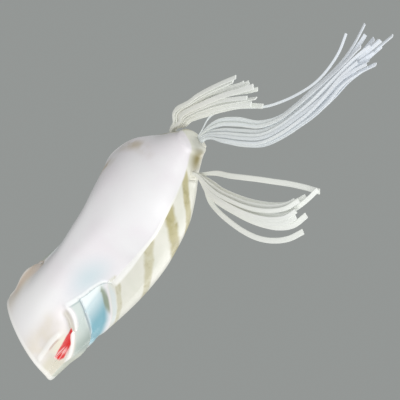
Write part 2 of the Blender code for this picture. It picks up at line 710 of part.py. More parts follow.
def make_eye(shell, name, side, finish):
    """Domed eye on a short plug, pressed into a socket square to the head."""
    half = half_section(EYE_STATION, 8, 5, 24)
    target = math.pi / 2 - EYE_ANGLE
    normals = outward(half)
    i = min(range(14, len(half)), key=lambda n: abs(math.atan2(normals[n][1], normals[n][0]) - target))
    lean = mouth_lean(EYE_STATION)
    y, z = half[i]
    at = Vector((station_x(EYE_STATION) + lean * (z - MOUTH_HEIGHT), side * y, z))
    axis = Vector((0, side * normals[i][0], normals[i][1]))
    radius = EYE_DIAMETER / 2
    profile = [(-EYE_SEAT, radius - EYE_CHAMFER), (EYE_CHAMFER - EYE_SEAT, radius), (EYE_COLLAR, radius)]
    for degrees in (25, 50, 75):
        angle = math.radians(degrees)
        profile.append((EYE_COLLAR + EYE_DOME * math.sin(angle), radius * math.cos(angle)))
    place(name, skin_rings(name, turned(profile, axis, at)), finish)
    socket = [(-EYE_SEAT - FIT, radius + FIT), (EYE_CLEARANCE, radius + FIT)]
    combine(shell, name + "_socket", skin_rings(name + "_socket", turned(socket, axis, at)), "DIFFERENCE")


def make_nose(shell, carrier, grommet_finish, sleeve_finish):
    """Bore through the cup's floor, the flanged grommet in it and the sleeve on the shanks."""
    origin = Vector((0, 0, MOUTH_HEIGHT))
    bore = [(NOSE_REAR - NOSE_WALL, NOSE_BORE), (NOSE_FRONT + NOSE_WALL, NOSE_BORE)]
    combine(shell, "nose_bore", skin_rings("nose_bore", turned(bore, NOSE_AXIS, origin)), "DIFFERENCE")
    seat = [(NOSE_FRONT, FLANGE_RADIUS + FIT), (NOSE_FRONT + CUP_DEPTH / 2, FLANGE_RADIUS + FIT)]
    combine(shell, "nose_seat", skin_rings("nose_seat", turned(seat, NOSE_AXIS, origin)), "DIFFERENCE")
    neck_front, neck_rear = NOSE_FRONT + FIT, NOSE_REAR - FIT
    flange_rear = neck_rear - FLANGE_THICKNESS
    outline = [(FLANGE_FRONT, GROMMET_BORE), (FLANGE_FRONT, FLANGE_RADIUS), (neck_front, FLANGE_RADIUS),
               (neck_front, GROMMET_RADIUS), (neck_rear, GROMMET_RADIUS), (neck_rear, FLANGE_RADIUS),
               (flange_rear, FLANGE_RADIUS), (flange_rear, GROMMET_BORE)]
    place("nose_grommet", tube("nose_grommet", outline, NOSE_AXIS, origin), grommet_finish)
    sleeve = [(SLEEVE_FRONT, SLEEVE_BORE), (SLEEVE_FRONT, SLEEVE_RADIUS), (SLEEVE_REAR, SLEEVE_RADIUS),
              (SLEEVE_REAR, SLEEVE_BORE)]
    place("shank_sleeve", tube("shank_sleeve", sleeve, NOSE_AXIS, origin), sleeve_finish, carrier)


def skirt_seat(shell, name, pivot_at, section, shares):
    """Round seat in the rear of the body that a skirt's drum turns in."""
    columns = max(len(row) for row in shares)
    across, up, radius, height = skirt_size(*section, columns, len(shares))
    cut = hull(name + "_seat", round_cut(pivot_at, radius + FIT, height + 2 * FIT))
    combine(shell, name + "_seat", cut, "DIFFERENCE")


def build():
    for obj in list(bpy.data.objects):
        bpy.data.objects.remove(obj)
    pearl = material("pearl_plastisol", (0.86, 0.84, 0.82), 0.28)
    steel = material("hook_steel", (0.42, 0.43, 0.45), 0.25, 1.0)
    lead = material("ballast_metal", (0.30, 0.30, 0.32), 0.5, 1.0)
    clear = material("sleeve_plastic", (0.75, 0.76, 0.75), 0.35)
    grommet = material("grommet_rubber", (0.80, 0.79, 0.75), 0.5)
    eye = material("eye_lens", (0.75, 0.55, 0.12), 0.1)
    leg_silicone = material("leg_silicone", (0.86, 0.86, 0.78), 0.35)
    tail_silicone = material("tail_silicone", (0.82, 0.86, 0.88), 0.35)
    root = material("skirt_root", (0.84, 0.83, 0.76), 0.45)

    shell = make_body(pearl)
    hook_carrier = pivot("hook_pivot", HOOK_PIVOT)
    make_nose(shell, hook_carrier, grommet, clear)
    left_wire = make_hook(hook_carrier, steel)
    for side, name in ((1, "left_hook_slot"), (-1, "right_hook_slot")):
        combine(shell, name, hull(name, wire_hull(left_wire, side)), "DIFFERENCE")
    make_ballast(lead)
    make_eye(shell, "left_eye", 1, eye)
    make_eye(shell, "right_eye", -1, eye)

    leg_section = (LEG_STRAND_WIDTH, LEG_STRAND_THICKNESS)
    exit_at = surface_point(BODY_LENGTH - LEG_SETBACK, LEG_HEIGHT)
    for side, name, fan, shares in ((1, "left_leg", LEFT_FAN, LEFT_SHARES),
                                    (-1, "right_leg", RIGHT_FAN, RIGHT_SHARES)):
        axis = Vector((-math.cos(LEG_SPLAY), side * math.sin(LEG_SPLAY), 0))
        pivot_at = Vector((exit_at.x, side * exit_at.y, exit_at.z)) - axis * (DRUM_FACE - DRUM_PROUD)
        skirt_seat(shell, name, pivot_at, leg_section, shares)
        make_skirt(name, pivot_at, axis, side, fan, shares, leg_section, (-LEG_DROOP, -LEG_TIP_DROOP),
                   leg_silicone, root)
    tail_section = (TAIL_STRAND_WIDTH, TAIL_STRAND_THICKNESS)
    axis = Vector((-1, 0, 0))
    tail_face = station_x(BODY_LENGTH + END_ROUND)
    pivot_at = Vector((tail_face + DRUM_FACE - DRUM_PROUD, 0, TAIL_HEIGHT))
    skirt_seat(shell, "tail", pivot_at, tail_section, TAIL_SHARES)
    make_skirt("tail", pivot_at, axis, -1, TAIL_FAN, TAIL_SHARES, tail_section, (TAIL_RISE, -TAIL_DROOP),
               tail_silicone, root)
    combine(shell, "air_chamber", skin_rings("air_chamber", chamber_rings(WALL)), "DIFFERENCE")


build()
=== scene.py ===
# %% [markdown]
# # A topwater popper, dressed
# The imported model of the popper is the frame: its bodies and joints stay where they are. This lesson puts a
# finished surface round that frame, piece by piece: a pearl moulding with gill covers, three skirts of flat
# silicone strands, and the small hardware of the hook, the nose and the eyes.

# %% Load the frame
import math

import bmesh
import bpy
import numpy as np
from mathutils import Matrix, Vector


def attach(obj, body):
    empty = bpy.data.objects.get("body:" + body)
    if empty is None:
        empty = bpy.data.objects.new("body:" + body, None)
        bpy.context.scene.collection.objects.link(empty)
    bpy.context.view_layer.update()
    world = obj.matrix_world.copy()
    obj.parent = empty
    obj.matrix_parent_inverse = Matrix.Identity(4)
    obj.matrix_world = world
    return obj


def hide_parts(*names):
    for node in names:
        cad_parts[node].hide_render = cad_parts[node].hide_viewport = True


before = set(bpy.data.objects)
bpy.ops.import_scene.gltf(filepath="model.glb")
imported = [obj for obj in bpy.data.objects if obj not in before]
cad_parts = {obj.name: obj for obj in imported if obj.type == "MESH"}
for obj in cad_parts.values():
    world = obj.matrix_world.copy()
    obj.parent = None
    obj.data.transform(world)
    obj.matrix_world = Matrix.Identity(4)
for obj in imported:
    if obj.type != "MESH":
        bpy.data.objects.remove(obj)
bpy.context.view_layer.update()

scene = bpy.context.scene
scene.view_settings.view_transform = "Standard"
MM = 0.001

# %% [markdown]
# ## Camera
# The photograph looks up at the belly from behind and from the right, with the nose at the lower left. A
# camera can be aimed with a Track To constraint, but the picture is also rolled, so the three axes of the
# view are written down instead: what is to the right in the picture, what is up, and what points at the
# lens.

# %% Camera
VIEW_RIGHT = Vector((-0.5285, -0.3934, 0.7522))
VIEW_UP = Vector((-0.6596, 0.7481, -0.0722))
VIEW_BACK = Vector((-0.5344, -0.5344, -0.6549))
AIM = Vector((-10.04, -0.29, 25.38)) * MM
DISTANCE = 0.42
LENS = 164.4

camera = bpy.data.objects.new("camera", bpy.data.cameras.new("camera"))
camera.data.sensor_width = 36
camera.data.lens = LENS
camera.data.clip_start = 0.01
turn = Matrix((VIEW_RIGHT, VIEW_UP, VIEW_BACK)).transposed().to_4x4()
camera.matrix_world = Matrix.Translation(AIM + VIEW_BACK * DISTANCE) @ turn
scene.collection.objects.link(camera)
scene.camera = camera
print("camera at", [round(v, 3) for v in camera.location])

# %% [markdown]
# ## Light and floor
# A small glossy object wants large soft lamps. Area lamps are used on both sides of the object, because the
# photograph looks from below the floor and a shelf view looks from above. The floor shows its upper face
# only: seen from below it is clear, so the plain grey of the world is what lies behind the belly.

# %% Light and floor
BACKDROP = (0.296, 0.311, 0.303, 1)
DAYLIGHT = (1.0, 1.0, 1.0, 1)
SKY_LIGHT = 0.5
FLOOR_REACH, FLOOR_LEVEL = 0.8, -0.2 * MM
FLOOR_GREY = (0.56, 0.565, 0.56, 1)


def add_lamp(name, direction, distance, size, power):
    """A square area lamp that looks at the object from a direction."""
    lamp = bpy.data.objects.new(name, bpy.data.lights.new(name, "AREA"))
    lamp.data.energy = power
    lamp.data.size = size
    away = Vector(direction).normalized()
    facing = away.to_track_quat("Z", "Y").to_matrix().to_4x4()
    lamp.matrix_world = Matrix.Translation(away * distance) @ facing
    lamp.visible_camera = False
    scene.collection.objects.link(lamp)


world = bpy.data.worlds.new("studio")
world.use_nodes = True
scene.world = world
sky = world.node_tree
path = sky.nodes.new("ShaderNodeLightPath")
seen = path.outputs["Is Camera Ray"]
for ray in ("Is Glossy Ray", "Is Transmission Ray"):
    either = sky.nodes.new("ShaderNodeMath")
    either.operation = "MAXIMUM"
    sky.links.new(seen, either.inputs[0])
    sky.links.new(path.outputs[ray], either.inputs[1])
    seen = either.outputs[0]
soft = sky.nodes["Background"]
soft.inputs["Color"].default_value = DAYLIGHT
soft.inputs["Strength"].default_value = SKY_LIGHT
plain = sky.nodes.new("ShaderNodeBackground")
plain.inputs["Color"].default_value = BACKDROP
choose = sky.nodes.new("ShaderNodeMixShader")
sky.links.new(seen, choose.inputs["Fac"])
sky.links.new(soft.outputs[0], choose.inputs[1])
sky.links.new(plain.outputs[0], choose.inputs[2])
sky.links.new(choose.outputs[0], sky.nodes["World Output"].inputs["Surface"])

add_lamp("belly_key", VIEW_BACK - VIEW_UP * 0.46 - VIEW_RIGHT * 0.06, 0.5, 0.4, 1.85)
add_lamp("rear_fill", VIEW_BACK * 0.1 + VIEW_UP * 0.65 + VIEW_RIGHT * 0.75, 0.5, 0.3, 0.8)
add_lamp("back_key", (0.35, -0.5, 1.0), 0.9, 0.7, 3.8)

floor_mesh = bpy.data.meshes.new("floor")
corners = [(x * FLOOR_REACH, y * FLOOR_REACH, FLOOR_LEVEL) for x, y in ((-1, -1), (1, -1), (1, 1), (-1, 1))]
floor_mesh.from_pydata(corners, [], [(0, 1, 2, 3)])
floor = bpy.data.objects.new("floor", floor_mesh)
scene.collection.objects.link(floor)
pale = bpy.data.materials.new("pale_floor")
pale.use_nodes = True
tree = pale.node_tree
tree.nodes.remove(tree.nodes["Principled BSDF"])
matt = tree.nodes.new("ShaderNodeBsdfDiffuse")
matt.inputs["Color"].default_value = FLOOR_GREY
clear = tree.nodes.new("ShaderNodeBsdfTransparent")
sight = tree.nodes.new("ShaderNodeLightPath")
facing = tree.nodes.new("ShaderNodeNewGeometry")
above = tree.nodes.new("ShaderNodeMath")
above.operation = "SUBTRACT"
above.use_clamp = True
tree.links.new(sight.outputs["Is Camera Ray"], above.inputs[0])
tree.links.new(facing.outputs["Backfacing"], above.inputs[1])
show = tree.nodes.new("ShaderNodeMixShader")
tree.links.new(above.outputs[0], show.inputs["Fac"])
tree.links.new(clear.outputs[0], show.inputs[1])
tree.links.new(matt.outputs[0], show.inputs[2])
tree.links.new(show.outputs[0], tree.nodes["Material Output"].inputs["Surface"])
floor_mesh.materials.append(pale)
print("lamps and floor ready")

# %% [markdown]
# ## A short hand for paint
# Every finish below is a Principled shader with patterns wired into it. Wiring nodes by hand takes four
# lines a node, so a small helper class holds the steps that come back: a soft edge, a mix of two colours, a
# noise, an attribute of the mesh. Numbers that are the same all over go straight onto the shader's own
# sockets.

# %% Paint helper


class Paint:
    """Wires the pattern nodes of one material."""

    def __init__(self, name, roughness=0.4, **fixed):
        self.material = bpy.data.materials.new(name)
        self.material.use_nodes = True
        self.tree = self.material.node_tree
        self.shader = self.tree.nodes["Principled BSDF"]
        self.shader.inputs["Roughness"].default_value = roughness
        for socket, value in fixed.items():
            self.shader.inputs[socket.replace("_", " ")].default_value = value

    def feed(self, socket, value):
        if isinstance(value, bpy.types.NodeSocket):
            self.tree.links.new(value, socket)
        else:
            socket.default_value = value

    def math(self, operation, a, b=0.0):
        node = self.tree.nodes.new("ShaderNodeMath")
        node.operation = operation
        self.feed(node.inputs[0], a)
        self.feed(node.inputs[1], b)
        return node.outputs[0]

    def step(self, value, low, high):
        """0 at low, 1 at high, soft between."""
        node = self.tree.nodes.new("ShaderNodeMapRange")
        node.interpolation_type = "SMOOTHSTEP"
        rising = high > low
        self.feed(node.inputs["Value"], value)
        node.inputs["From Min"].default_value = low if rising else high
        node.inputs["From Max"].default_value = high if rising else low
        node.inputs["To Min"].default_value = 0 if rising else 1
        node.inputs["To Max"].default_value = 1 if rising else 0
        return node.outputs["Result"]

    def both(self, *masks):
        result = masks[0]
        for mask in masks[1:]:
            result = self.math("MULTIPLY", result, mask)
        return result

    def line(self, value, centre, width):
        """A soft line where a value passes a centre."""
        return self.step(self.math("ABSOLUTE", self.math("SUBTRACT", value, centre)), width, width * 0.4)

    def spot(self, across, along, centre, size):
        """A soft oval spot in two measures of the surface."""
        x = self.math("DIVIDE", self.math("SUBTRACT", across, centre[0]), size[0])
        y = self.math("DIVIDE", self.math("SUBTRACT", along, centre[1]), size[1])
        square = self.math("ADD", self.math("MULTIPLY", x, x), self.math("MULTIPLY", y, y))
        return self.step(self.math("SQRT", square), 1.0, 0.0)

    def mix(self, share, a, b):
        node = self.tree.nodes.new("ShaderNodeMix")
        node.data_type = "RGBA"
        for socket, value in ((node.inputs[0], share), (node.inputs[6], a), (node.inputs[7], b)):
            if isinstance(value, tuple):
                value = (*value, 1)
            self.feed(socket, value)
        return node.outputs[2]

    def measure(self, name):
        node = self.tree.nodes.new("ShaderNodeAttribute")
        node.attribute_name = name
        return node.outputs["Fac"]

    def place(self):
        return self.tree.nodes.new("ShaderNodeTexCoord").outputs["Object"]

    def stretch(self, vector, scale):
        node = self.tree.nodes.new("ShaderNodeMapping")
        self.feed(node.inputs["Vector"], vector)
        node.inputs["Scale"].default_value = scale
        return node.outputs["Vector"]

    def join(self, x, y, z):
        node = self.tree.nodes.new("ShaderNodeCombineXYZ")
        for socket, value in zip(node.inputs, (x, y, z)):
            self.feed(socket, value)
        return node.outputs[0]

    def noise(self, vector, scale, detail=2.0):
        node = self.tree.nodes.new("ShaderNodeTexNoise")
        self.feed(node.inputs["Vector"], vector)
        node.inputs["Scale"].default_value = scale
        node.inputs["Detail"].default_value = detail
        return node.outputs["Fac"]

    def speckle(self, vector, scale):
        """Distance to the nearest of many scattered points, and a random tone for each of them."""
        node = self.tree.nodes.new("ShaderNodeTexVoronoi")
        self.feed(node.inputs["Vector"], vector)
        node.inputs["Scale"].default_value = scale
        tone = self.tree.nodes.new("ShaderNodeSeparateColor")
        self.tree.links.new(node.outputs["Color"], tone.inputs[0])
        return node.outputs["Distance"], tone.outputs[0]

    def bump(self, height, strength, distance):
        node = self.tree.nodes.new("ShaderNodeBump")
        node.inputs["Strength"].default_value = strength
        node.inputs["Distance"].default_value = distance
        self.feed(node.inputs["Height"], height)
        self.tree.links.new(node.outputs["Normal"], self.shader.inputs["Normal"])

    def colour(self, value):
        self.feed(self.shader.inputs["Base Color"], value)

    def roughness(self, pattern, spread, least):
        """Roughness that follows a pattern."""
        level = self.math("ADD", self.math("MULTIPLY", pattern, spread), least)
        self.feed(self.shader.inputs["Roughness"], level)


print("paint helper ready")

# %% [markdown]
# ## The moulding: its sections
# The body is one soft moulding. Its plan pinches behind the head and swells at the hips, and a crease, the
# chine, parts the pearl belly from the barred side. A box with a subdivision surface could be pushed into
# this shape by eye, but the solid under it was made from sections, so the skin uses the same sections with
# many more points. All measures here are millimetres behind the mouth and above the belly flat.

# %% Sections of the moulding
BODY_LENGTH = 69.0
REST_STATION = 42.0
BELLY_FLAT, FLAT_BLEND, FLAT_SINK = 0.4, 1.0, 0.25
MOUTH_HEIGHT = 8.7
MOUTH_LEAN = 0.5
MOUTH_BLEND = 16.0
MOUTH_CORNER, CORNER_HEIGHT = 1.0, 10.5
BACK_ROUNDNESS = 2.3
CHINE_HALF = ((0, 11.5), (0.4, 8.7), (0.48, 9.35), (0.565, 10.05), (0.65, 11.4), (0.735, 12.3), (0.8, 11.5),
              (0.85, 10.35), (0.9, 8.3), (0.94, 6.2), (1, 3.1))
SIDE_HALF = ((0, 11.5), (0.17, 12.2), (0.58, 14.3), (0.77, 12.6), (0.88, 9.2), (0.94, 6.5), (1, 4.0))
KEEL = ((0, 1.8), (0.14, 1.0), (0.6, -0.3), (0.8, 1.4), (0.94, 5.6), (1, 8.0))
CHINE = ((0, 8.6), (0.48, 8.7), (0.565, 8.4), (0.65, 7.2), (0.735, 6.45), (0.8, 6.55), (0.85, 7.0),
         (0.9, 8.2), (0.94, 9.2), (1, 9.6))
SIDE = ((0, 9.0), (0.42, 12.2), (0.94, 11.0), (1, 11.8))
BACK = ((0, 16.4), (0.2, 19.1), (0.49, 21.0), (0.74, 19.6), (0.94, 15.9), (1, 14.8))
CREASE = ((0, 0.0), (0.14, 0.1), (0.42, 1.0), (0.72, 1.0), (0.94, 0.3), (1, 0.2))
SOFT_FROM, SOFT_OVER, SOFT_PASSES = 59.0, 8.0, 30
MIRROR = np.array([1, -1, 1])


def ease(value, width):
    """0 below zero, 1 above width, smooth between."""
    t = np.clip(np.asarray(value, float) / width, 0.0, 1.0)
    return t * t * (3 - 2 * t)


def along(stations, s):
    """Smooth curve through the stations, without overshoot, at distances s behind the mouth."""
    knots = np.array([share * BODY_LENGTH for share, value in stations])
    values = np.array([value for share, value in stations])
    steps = np.diff(knots)
    rises = np.diff(values) / steps
    before, after = rises[:-1], rises[1:]
    same_way = before * after > 0
    middle = np.where(same_way, 2 * before * after / np.where(same_way, before + after, 1.0), 0.0)
    slopes = np.concatenate([rises[:1], middle, rises[-1:]])
    s = np.clip(np.asarray(s, float), knots[0], knots[-1])
    i = np.clip(np.searchsorted(knots, s, side="right") - 1, 0, len(steps) - 1)
    t = (s - knots[i]) / steps[i]
    start = (1 + 2 * t) * (1 - t) ** 2 * values[i] + t * (1 - t) ** 2 * steps[i] * slopes[i]
    return start + t * t * (3 - 2 * t) * values[i + 1] + t * t * (t - 1) * steps[i] * slopes[i + 1]


def half_section(s, belly_steps, side_steps, back_steps):
    """Left halves of the sections at stations s, from the keel round to the back, as arrays of y and z."""
    s = np.atleast_1d(np.asarray(s, float))[:, None]
    chine_y, chine_z = along(CHINE_HALF, s), along(CHINE, s)
    side_y, side_z = along(SIDE_HALF, s), along(SIDE, s)
    keel_z, back_z = along(KEEL, s), along(BACK, s)
    angle = np.pi / 2 * np.arange(belly_steps)[None] / belly_steps
    belly_y = chine_y * np.sin(angle)
    belly_z = chine_z - (chine_z - keel_z) * np.cos(angle) ** (1 + along(CREASE, s))
    t = np.arange(side_steps)[None] / side_steps
    flank_y = chine_y + (side_y - chine_y) * (1 - (1 - t) ** 2)
    flank_z = chine_z + (side_z - chine_z) * t
    angle = np.pi / 2 * np.arange(back_steps + 1)[None] / back_steps
    top_y = side_y * np.maximum(np.cos(angle), 0.0) ** (2 / BACK_ROUNDNESS)
    top_z = side_z + (back_z - side_z) * np.sin(angle) ** (2 / BACK_ROUNDNESS)
    top_y[:, -1] = 0.0
    y = np.concatenate([belly_y, flank_y, top_y], axis=1)
    z = np.concatenate([belly_z, flank_z, top_z], axis=1)
    above = z - BELLY_FLAT
    return y, (above + np.sqrt(above ** 2 + FLAT_BLEND ** 2)) / 2 - FLAT_SINK


def bell(value, width):
    return np.exp(-(value / width) ** 2)


def mouth_shift(s, z):
    """How far forward the leaning mouth with its flared corners carries a point."""
    lean = MOUTH_LEAN * (z - MOUTH_HEIGHT) + MOUTH_CORNER * bell(z - CORNER_HEIGHT, 2.5)
    return lean * np.maximum(0.0, 1 - s / MOUTH_BLEND) ** 1.5


def body_rings(stations, counts):
    """Closed rings of points of the plain moulding, one for each station."""
    s = np.asarray(stations, float)
    y, z = half_section(s, *counts)
    x = REST_STATION - s[:, None] + mouth_shift(s[:, None], z)
    left = np.stack([x, y, z], axis=2)
    right = left[:, -2:0:-1] * MIRROR
    rings = np.concatenate([left, right], axis=1)
    softness = ease(s - SOFT_FROM, SOFT_OVER)[:, None, None]
    for _ in range(SOFT_PASSES):
        rings = rings + softness * ((np.roll(rings, 1, 1) + np.roll(rings, -1, 1)) / 2 - rings)
    return rings


print("widest half:", round(float(along(SIDE_HALF, 40.0)), 2), "mm at 40 mm behind the mouth")

# %% [markdown]
# ## The moulding: one closed mesh
# The rings start at the bottom of the cupped mouth, climb its wall, turn over the lip and run along the
# body to the rounded tail. They are closest together on the head, where the gill covers need small steps.
# Afterwards the air chamber and the openings are cut with Boolean modifiers, as in the real mould with its
# cores.

# %% Skin of the moulding
SECTION_COUNTS = (46, 30, 26)
HEAD_END = 36.0
HEAD_STEP = 0.25
REAR_STEPS = 105
CUP_DEPTH = 8.0
CUP_FULLNESS = 4
RIM_WALL = 1.6
LIP_ROUND = 0.5
END_ROUND = 1.5
END_BLUNTNESS = 2.8
END_ANGLES = np.radians((4, 10, 18, 27, 36, 46, 57, 68, 79))


def scaled_ring(ring, centre, share, forward):
    return centre + (ring - centre) * share + np.array([forward, 0.0, 0.0])


def mesh_from_rings(name, rings, tube=False):
    """Closed mesh over a stack of rings, in metres: with a fan at each end, or joined up as a tube."""
    rings = [np.asarray(ring) for ring in rings]
    count, total = len(rings[0]), len(rings) * len(rings[0])
    points = np.concatenate(rings)
    faces = []
    for start in range(0, total if tube else total - count, count):
        after = (start + count) % total
        for i in range(count):
            j = (i + 1) % count
            faces.append((start + i, start + j, after + j, after + i))
    if not tube:
        points = np.concatenate([points, rings[0].mean(0)[None], rings[-1].mean(0)[None]])
        top = total - count
        for i in range(count):
            j = (i + 1) % count
            faces += [(total, j, i), (total + 1, top + i, top + j)]
    mesh = bpy.data.meshes.new(name)
    mesh.from_pydata((points * MM).tolist(), [], faces)
    bm = bmesh.new()
    bm.from_mesh(mesh)
    bmesh.ops.remove_doubles(bm, verts=bm.verts, dist=1e-7)
    bmesh.ops.recalc_face_normals(bm, faces=bm.faces)
    bm.to_mesh(mesh)
    bm.free()
    return mesh


def add_object(name, mesh, finish=None):
    obj = bpy.data.objects.new(name, mesh)
    scene.collection.objects.link(obj)
    if finish:
        mesh.materials.clear()
        mesh.materials.append(finish.material)
    return obj


head = np.arange(0.0, HEAD_END, HEAD_STEP)
rear = np.linspace(HEAD_END, BODY_LENGTH, REAR_STEPS)
outer = body_rings(np.concatenate([head, rear]), SECTION_COUNTS)
mouth = np.array([REST_STATION, 0.0, MOUTH_HEIGHT])
inner = 1 - RIM_WALL / along(SIDE_HALF, 0.0)
rings = []
for share in np.linspace(0.06, 0.98, 24):
    rings.append(scaled_ring(outer[0], mouth, inner * share, -CUP_DEPTH * (1 - share ** CUP_FULLNESS)))
for angle in np.linspace(0.0, np.pi, 7)[:-1]:
    wall = (1 + inner) / 2 - (1 - inner) / 2 * np.cos(angle)
    rings.append(scaled_ring(outer[0], mouth, wall, LIP_ROUND * np.sin(angle)))
rings += list(outer)
tail_height = (along(KEEL, BODY_LENGTH) + along(BACK, BODY_LENGTH)) / 2 - BELLY_FLAT
tail_middle = np.array([REST_STATION - BODY_LENGTH, 0.0, tail_height])
for angle in END_ANGLES:
    share, reach = np.cos(angle) ** (2 / END_BLUNTNESS), np.sin(angle) ** (2 / END_BLUNTNESS)
    rings.append(scaled_ring(outer[-1], tail_middle, share, -END_ROUND * reach))
skin = add_object("popper_skin", mesh_from_rings("popper_skin", rings))
print("plain skin:", len(skin.data.polygons), "faces")

# %% [markdown]
# ## Hardware lines
# The hook is one wire: an eye at the nose, two shanks through the nose bore, two bends and two points on
# the back. The slots in the back and the bore in the nose are cut from its path, so the path comes first.
# The points keep a little above the highest back under them.

# %% Path of the hook wire
WIRE = 1.4
SHANK_OFFSET = 0.85
EYE_LOOP = 2.0
EYE_CENTRE = 38.7
SHANK_END = 46.0
SHANK_SPREAD = 7.2
POINT_SPREAD = 8.4
POINT_LENGTH = 14.0
POINT_TAPER = 4.0
SLEEVE_REAR = 21.6
SLEEVE_FRONT = 35.6
FIT = 0.3
HOOK_PLAY = 0.4
HOOK_LIFT = math.radians(6)
HOOK_PIVOT = np.array([32.75, 0.0, 8.7])


def point_height():
    s = np.linspace(SHANK_END - POINT_LENGTH, SHANK_END, 9)
    y, z = half_section(s, 8, 5, 24)
    heights = [z[y >= POINT_SPREAD / 2 + reach].max() for reach in (-WIRE, 0.0, WIRE)]
    return max(heights) + WIRE / 2 + FIT


def hook_half():
    """Left half of the wire's centre line, from the front of the eye to the point."""
    points = []
    for angle in np.radians(np.arange(0, 136, 7.5)):
        points.append((EYE_CENTRE + EYE_LOOP * np.cos(angle), EYE_LOOP * np.sin(angle), MOUTH_HEIGHT))
    leave_x, leave_y, level = points[-1]
    drop = leave_y - SHANK_OFFSET
    for t in np.linspace(0.125, 1.0, 8):
        points.append((leave_x - 2 * drop * t, SHANK_OFFSET + drop * (1 - t) ** 2, level))
    shank_x = REST_STATION - SHANK_END
    for t in np.linspace(0.0, 0.95, 15):
        y = SHANK_OFFSET + (SHANK_SPREAD / 2 - SHANK_OFFSET) * ease(t, 1.0)
        points.append((SLEEVE_REAR + (shank_x - SLEEVE_REAR) * t, y, level))
    low = np.array([shank_x, SHANK_SPREAD / 2, level])
    high = np.array([shank_x, POINT_SPREAD / 2, point_height()])
    radius = np.linalg.norm(high - low) / 2
    rise = (high - low) / np.linalg.norm(high - low)
    back = np.array([radius, 0, 0])
    for angle in np.radians(np.arange(0, 181, 6)):
        points.append((low + high) / 2 - rise * radius * np.cos(angle) - back * np.sin(angle))
    for reach in np.linspace(0.1, 1.0, 12):
        points.append(high + np.array([POINT_LENGTH * reach, 0, 0]))
    return np.array(points, float)


hook_left = hook_half()
print("hook wire half:", round(float(np.linalg.norm(np.diff(hook_left, axis=0), axis=1).sum()), 1), "mm long")

# %% [markdown]
# ## Cutting the moulding
# Turned cutters make the nose bore, the eye sockets and the round seats of the skirts. The slots in the
# back are the hull of the two bends in every position of the hook. The chamber is the body's own section
# drawn inwards.

# %% Cut the chamber and the openings
NOSE_FRONT = 34.0
NOSE_BORE, BORE_REAR, BORE_FRONT = 3.55, 29.0, 36.5
FLANGE_SEAT, SEAT_FRONT = 4.45, 38.0
CHAMBER_RINGS, CHAMBER_END = 25, 0.85
SLOT_FLOOR, SLOT_REACH, SOCKET_REACH = 10.5, 2.0, 3.0
WALL = 2.0
TAIL_BLOCK = 10.0
NOSE_BLOCK = 10.5
EYE_STATION = 13.0
EYE_TILT = math.radians(16)
EYE_RADIUS = 2.8
EYE_SEAT = 0.8
LEG_PIVOT = np.array([-22.822, 5.137, 10.2])
TAIL_PIVOT = np.array([-27.4, 0.0, 12.2])
LEG_SPLAY = math.radians(45)
LEG_AXIS = np.array([-math.cos(LEG_SPLAY), math.sin(LEG_SPLAY), 0.0])
TAIL_AXIS = np.array([-1.0, 0.0, 0.0])
# radius, height, rise above the pivot and distance of the flat face of each skirt's root bead
LEG_ROOT = (1.6, 2.3, 0.9, 1.15)
TAIL_ROOT = (1.9, 2.1, 0.7, 0.9)
# pivot, way out of the body and root bead of each skirt
SKIRTS = {"left_leg": (LEG_PIVOT, LEG_AXIS, LEG_ROOT),
          "right_leg": (LEG_PIVOT * MIRROR, LEG_AXIS * MIRROR, LEG_ROOT),
          "tail": (TAIL_PIVOT, TAIL_AXIS, TAIL_ROOT)}
SEAT_GAP = 0.05


def lathe_rings(profile, axis, origin, sides):
    """Rings of (along, radius) points turned about an axis."""
    frame_turn = np.array(Vector(axis).to_track_quat("Z", "Y").to_matrix())
    angles = 2 * np.pi * np.arange(sides) / sides
    rings = []
    for height, radius in profile:
        ring = np.stack([radius * np.cos(angles), radius * np.sin(angles), np.full(sides, height)], axis=1)
        rings.append(np.asarray(origin) + ring @ frame_turn.T)
    return rings


def hull_mesh(name, points):
    mesh = bpy.data.meshes.new(name)
    bm = bmesh.new()
    for p in points:
        bm.verts.new(Vector(p) * MM)
    result = bmesh.ops.convex_hull(bm, input=bm.verts)
    loose = [v for v in result["geom_interior"] if isinstance(v, bmesh.types.BMVert)]
    bmesh.ops.delete(bm, geom=loose, context="VERTS")
    bmesh.ops.recalc_face_normals(bm, faces=bm.faces)
    bm.to_mesh(mesh)
    bm.free()
    return mesh


def slot_points(side):
    """Room that one bend needs through the back while the hook lifts."""
    reach = WIRE / 2 + HOOK_PLAY
    front = REST_STATION - SHANK_END + SLOT_REACH
    high = hook_left[(hook_left[:, 2] > SLOT_FLOOR) & (hook_left[:, 0] < front)]
    points = []
    for lift in (0.0, HOOK_LIFT / 2, HOOK_LIFT):
        offset = high - HOOK_PIVOT
        x = HOOK_PIVOT[0] + offset[:, 0] * math.cos(lift) + offset[:, 2] * math.sin(lift)
        z = HOOK_PIVOT[2] - offset[:, 0] * math.sin(lift) + offset[:, 2] * math.cos(lift)
        for dx, dy in ((-1, -1), (-1, 1), (1, -1), (1, 1)):
            points += list(zip(x + reach * dx, side * high[:, 1] + reach * dy, z))
    top = max(p[2] for p in points) + WIRE
    return points + [(x, y, top) for x, y, z in points]


def eye_frame(side):
    """Centre and outward axis of an eye on the head."""
    y, z = half_section(EYE_STATION, 8, 5, 24)
    y, z = y[0], z[0]
    run, rise = np.gradient(y), np.gradient(z)
    steep = np.arctan2(-run, rise)
    i = 14 + int(np.argmin(np.abs(steep[14:] - (np.pi / 2 - EYE_TILT))))
    x = REST_STATION - EYE_STATION + mouth_shift(EYE_STATION, z[i])
    size = math.hypot(run[i], rise[i])
    return np.array([x, side * y[i], z[i]]), Vector((0, side * rise[i] / size, -run[i] / size))


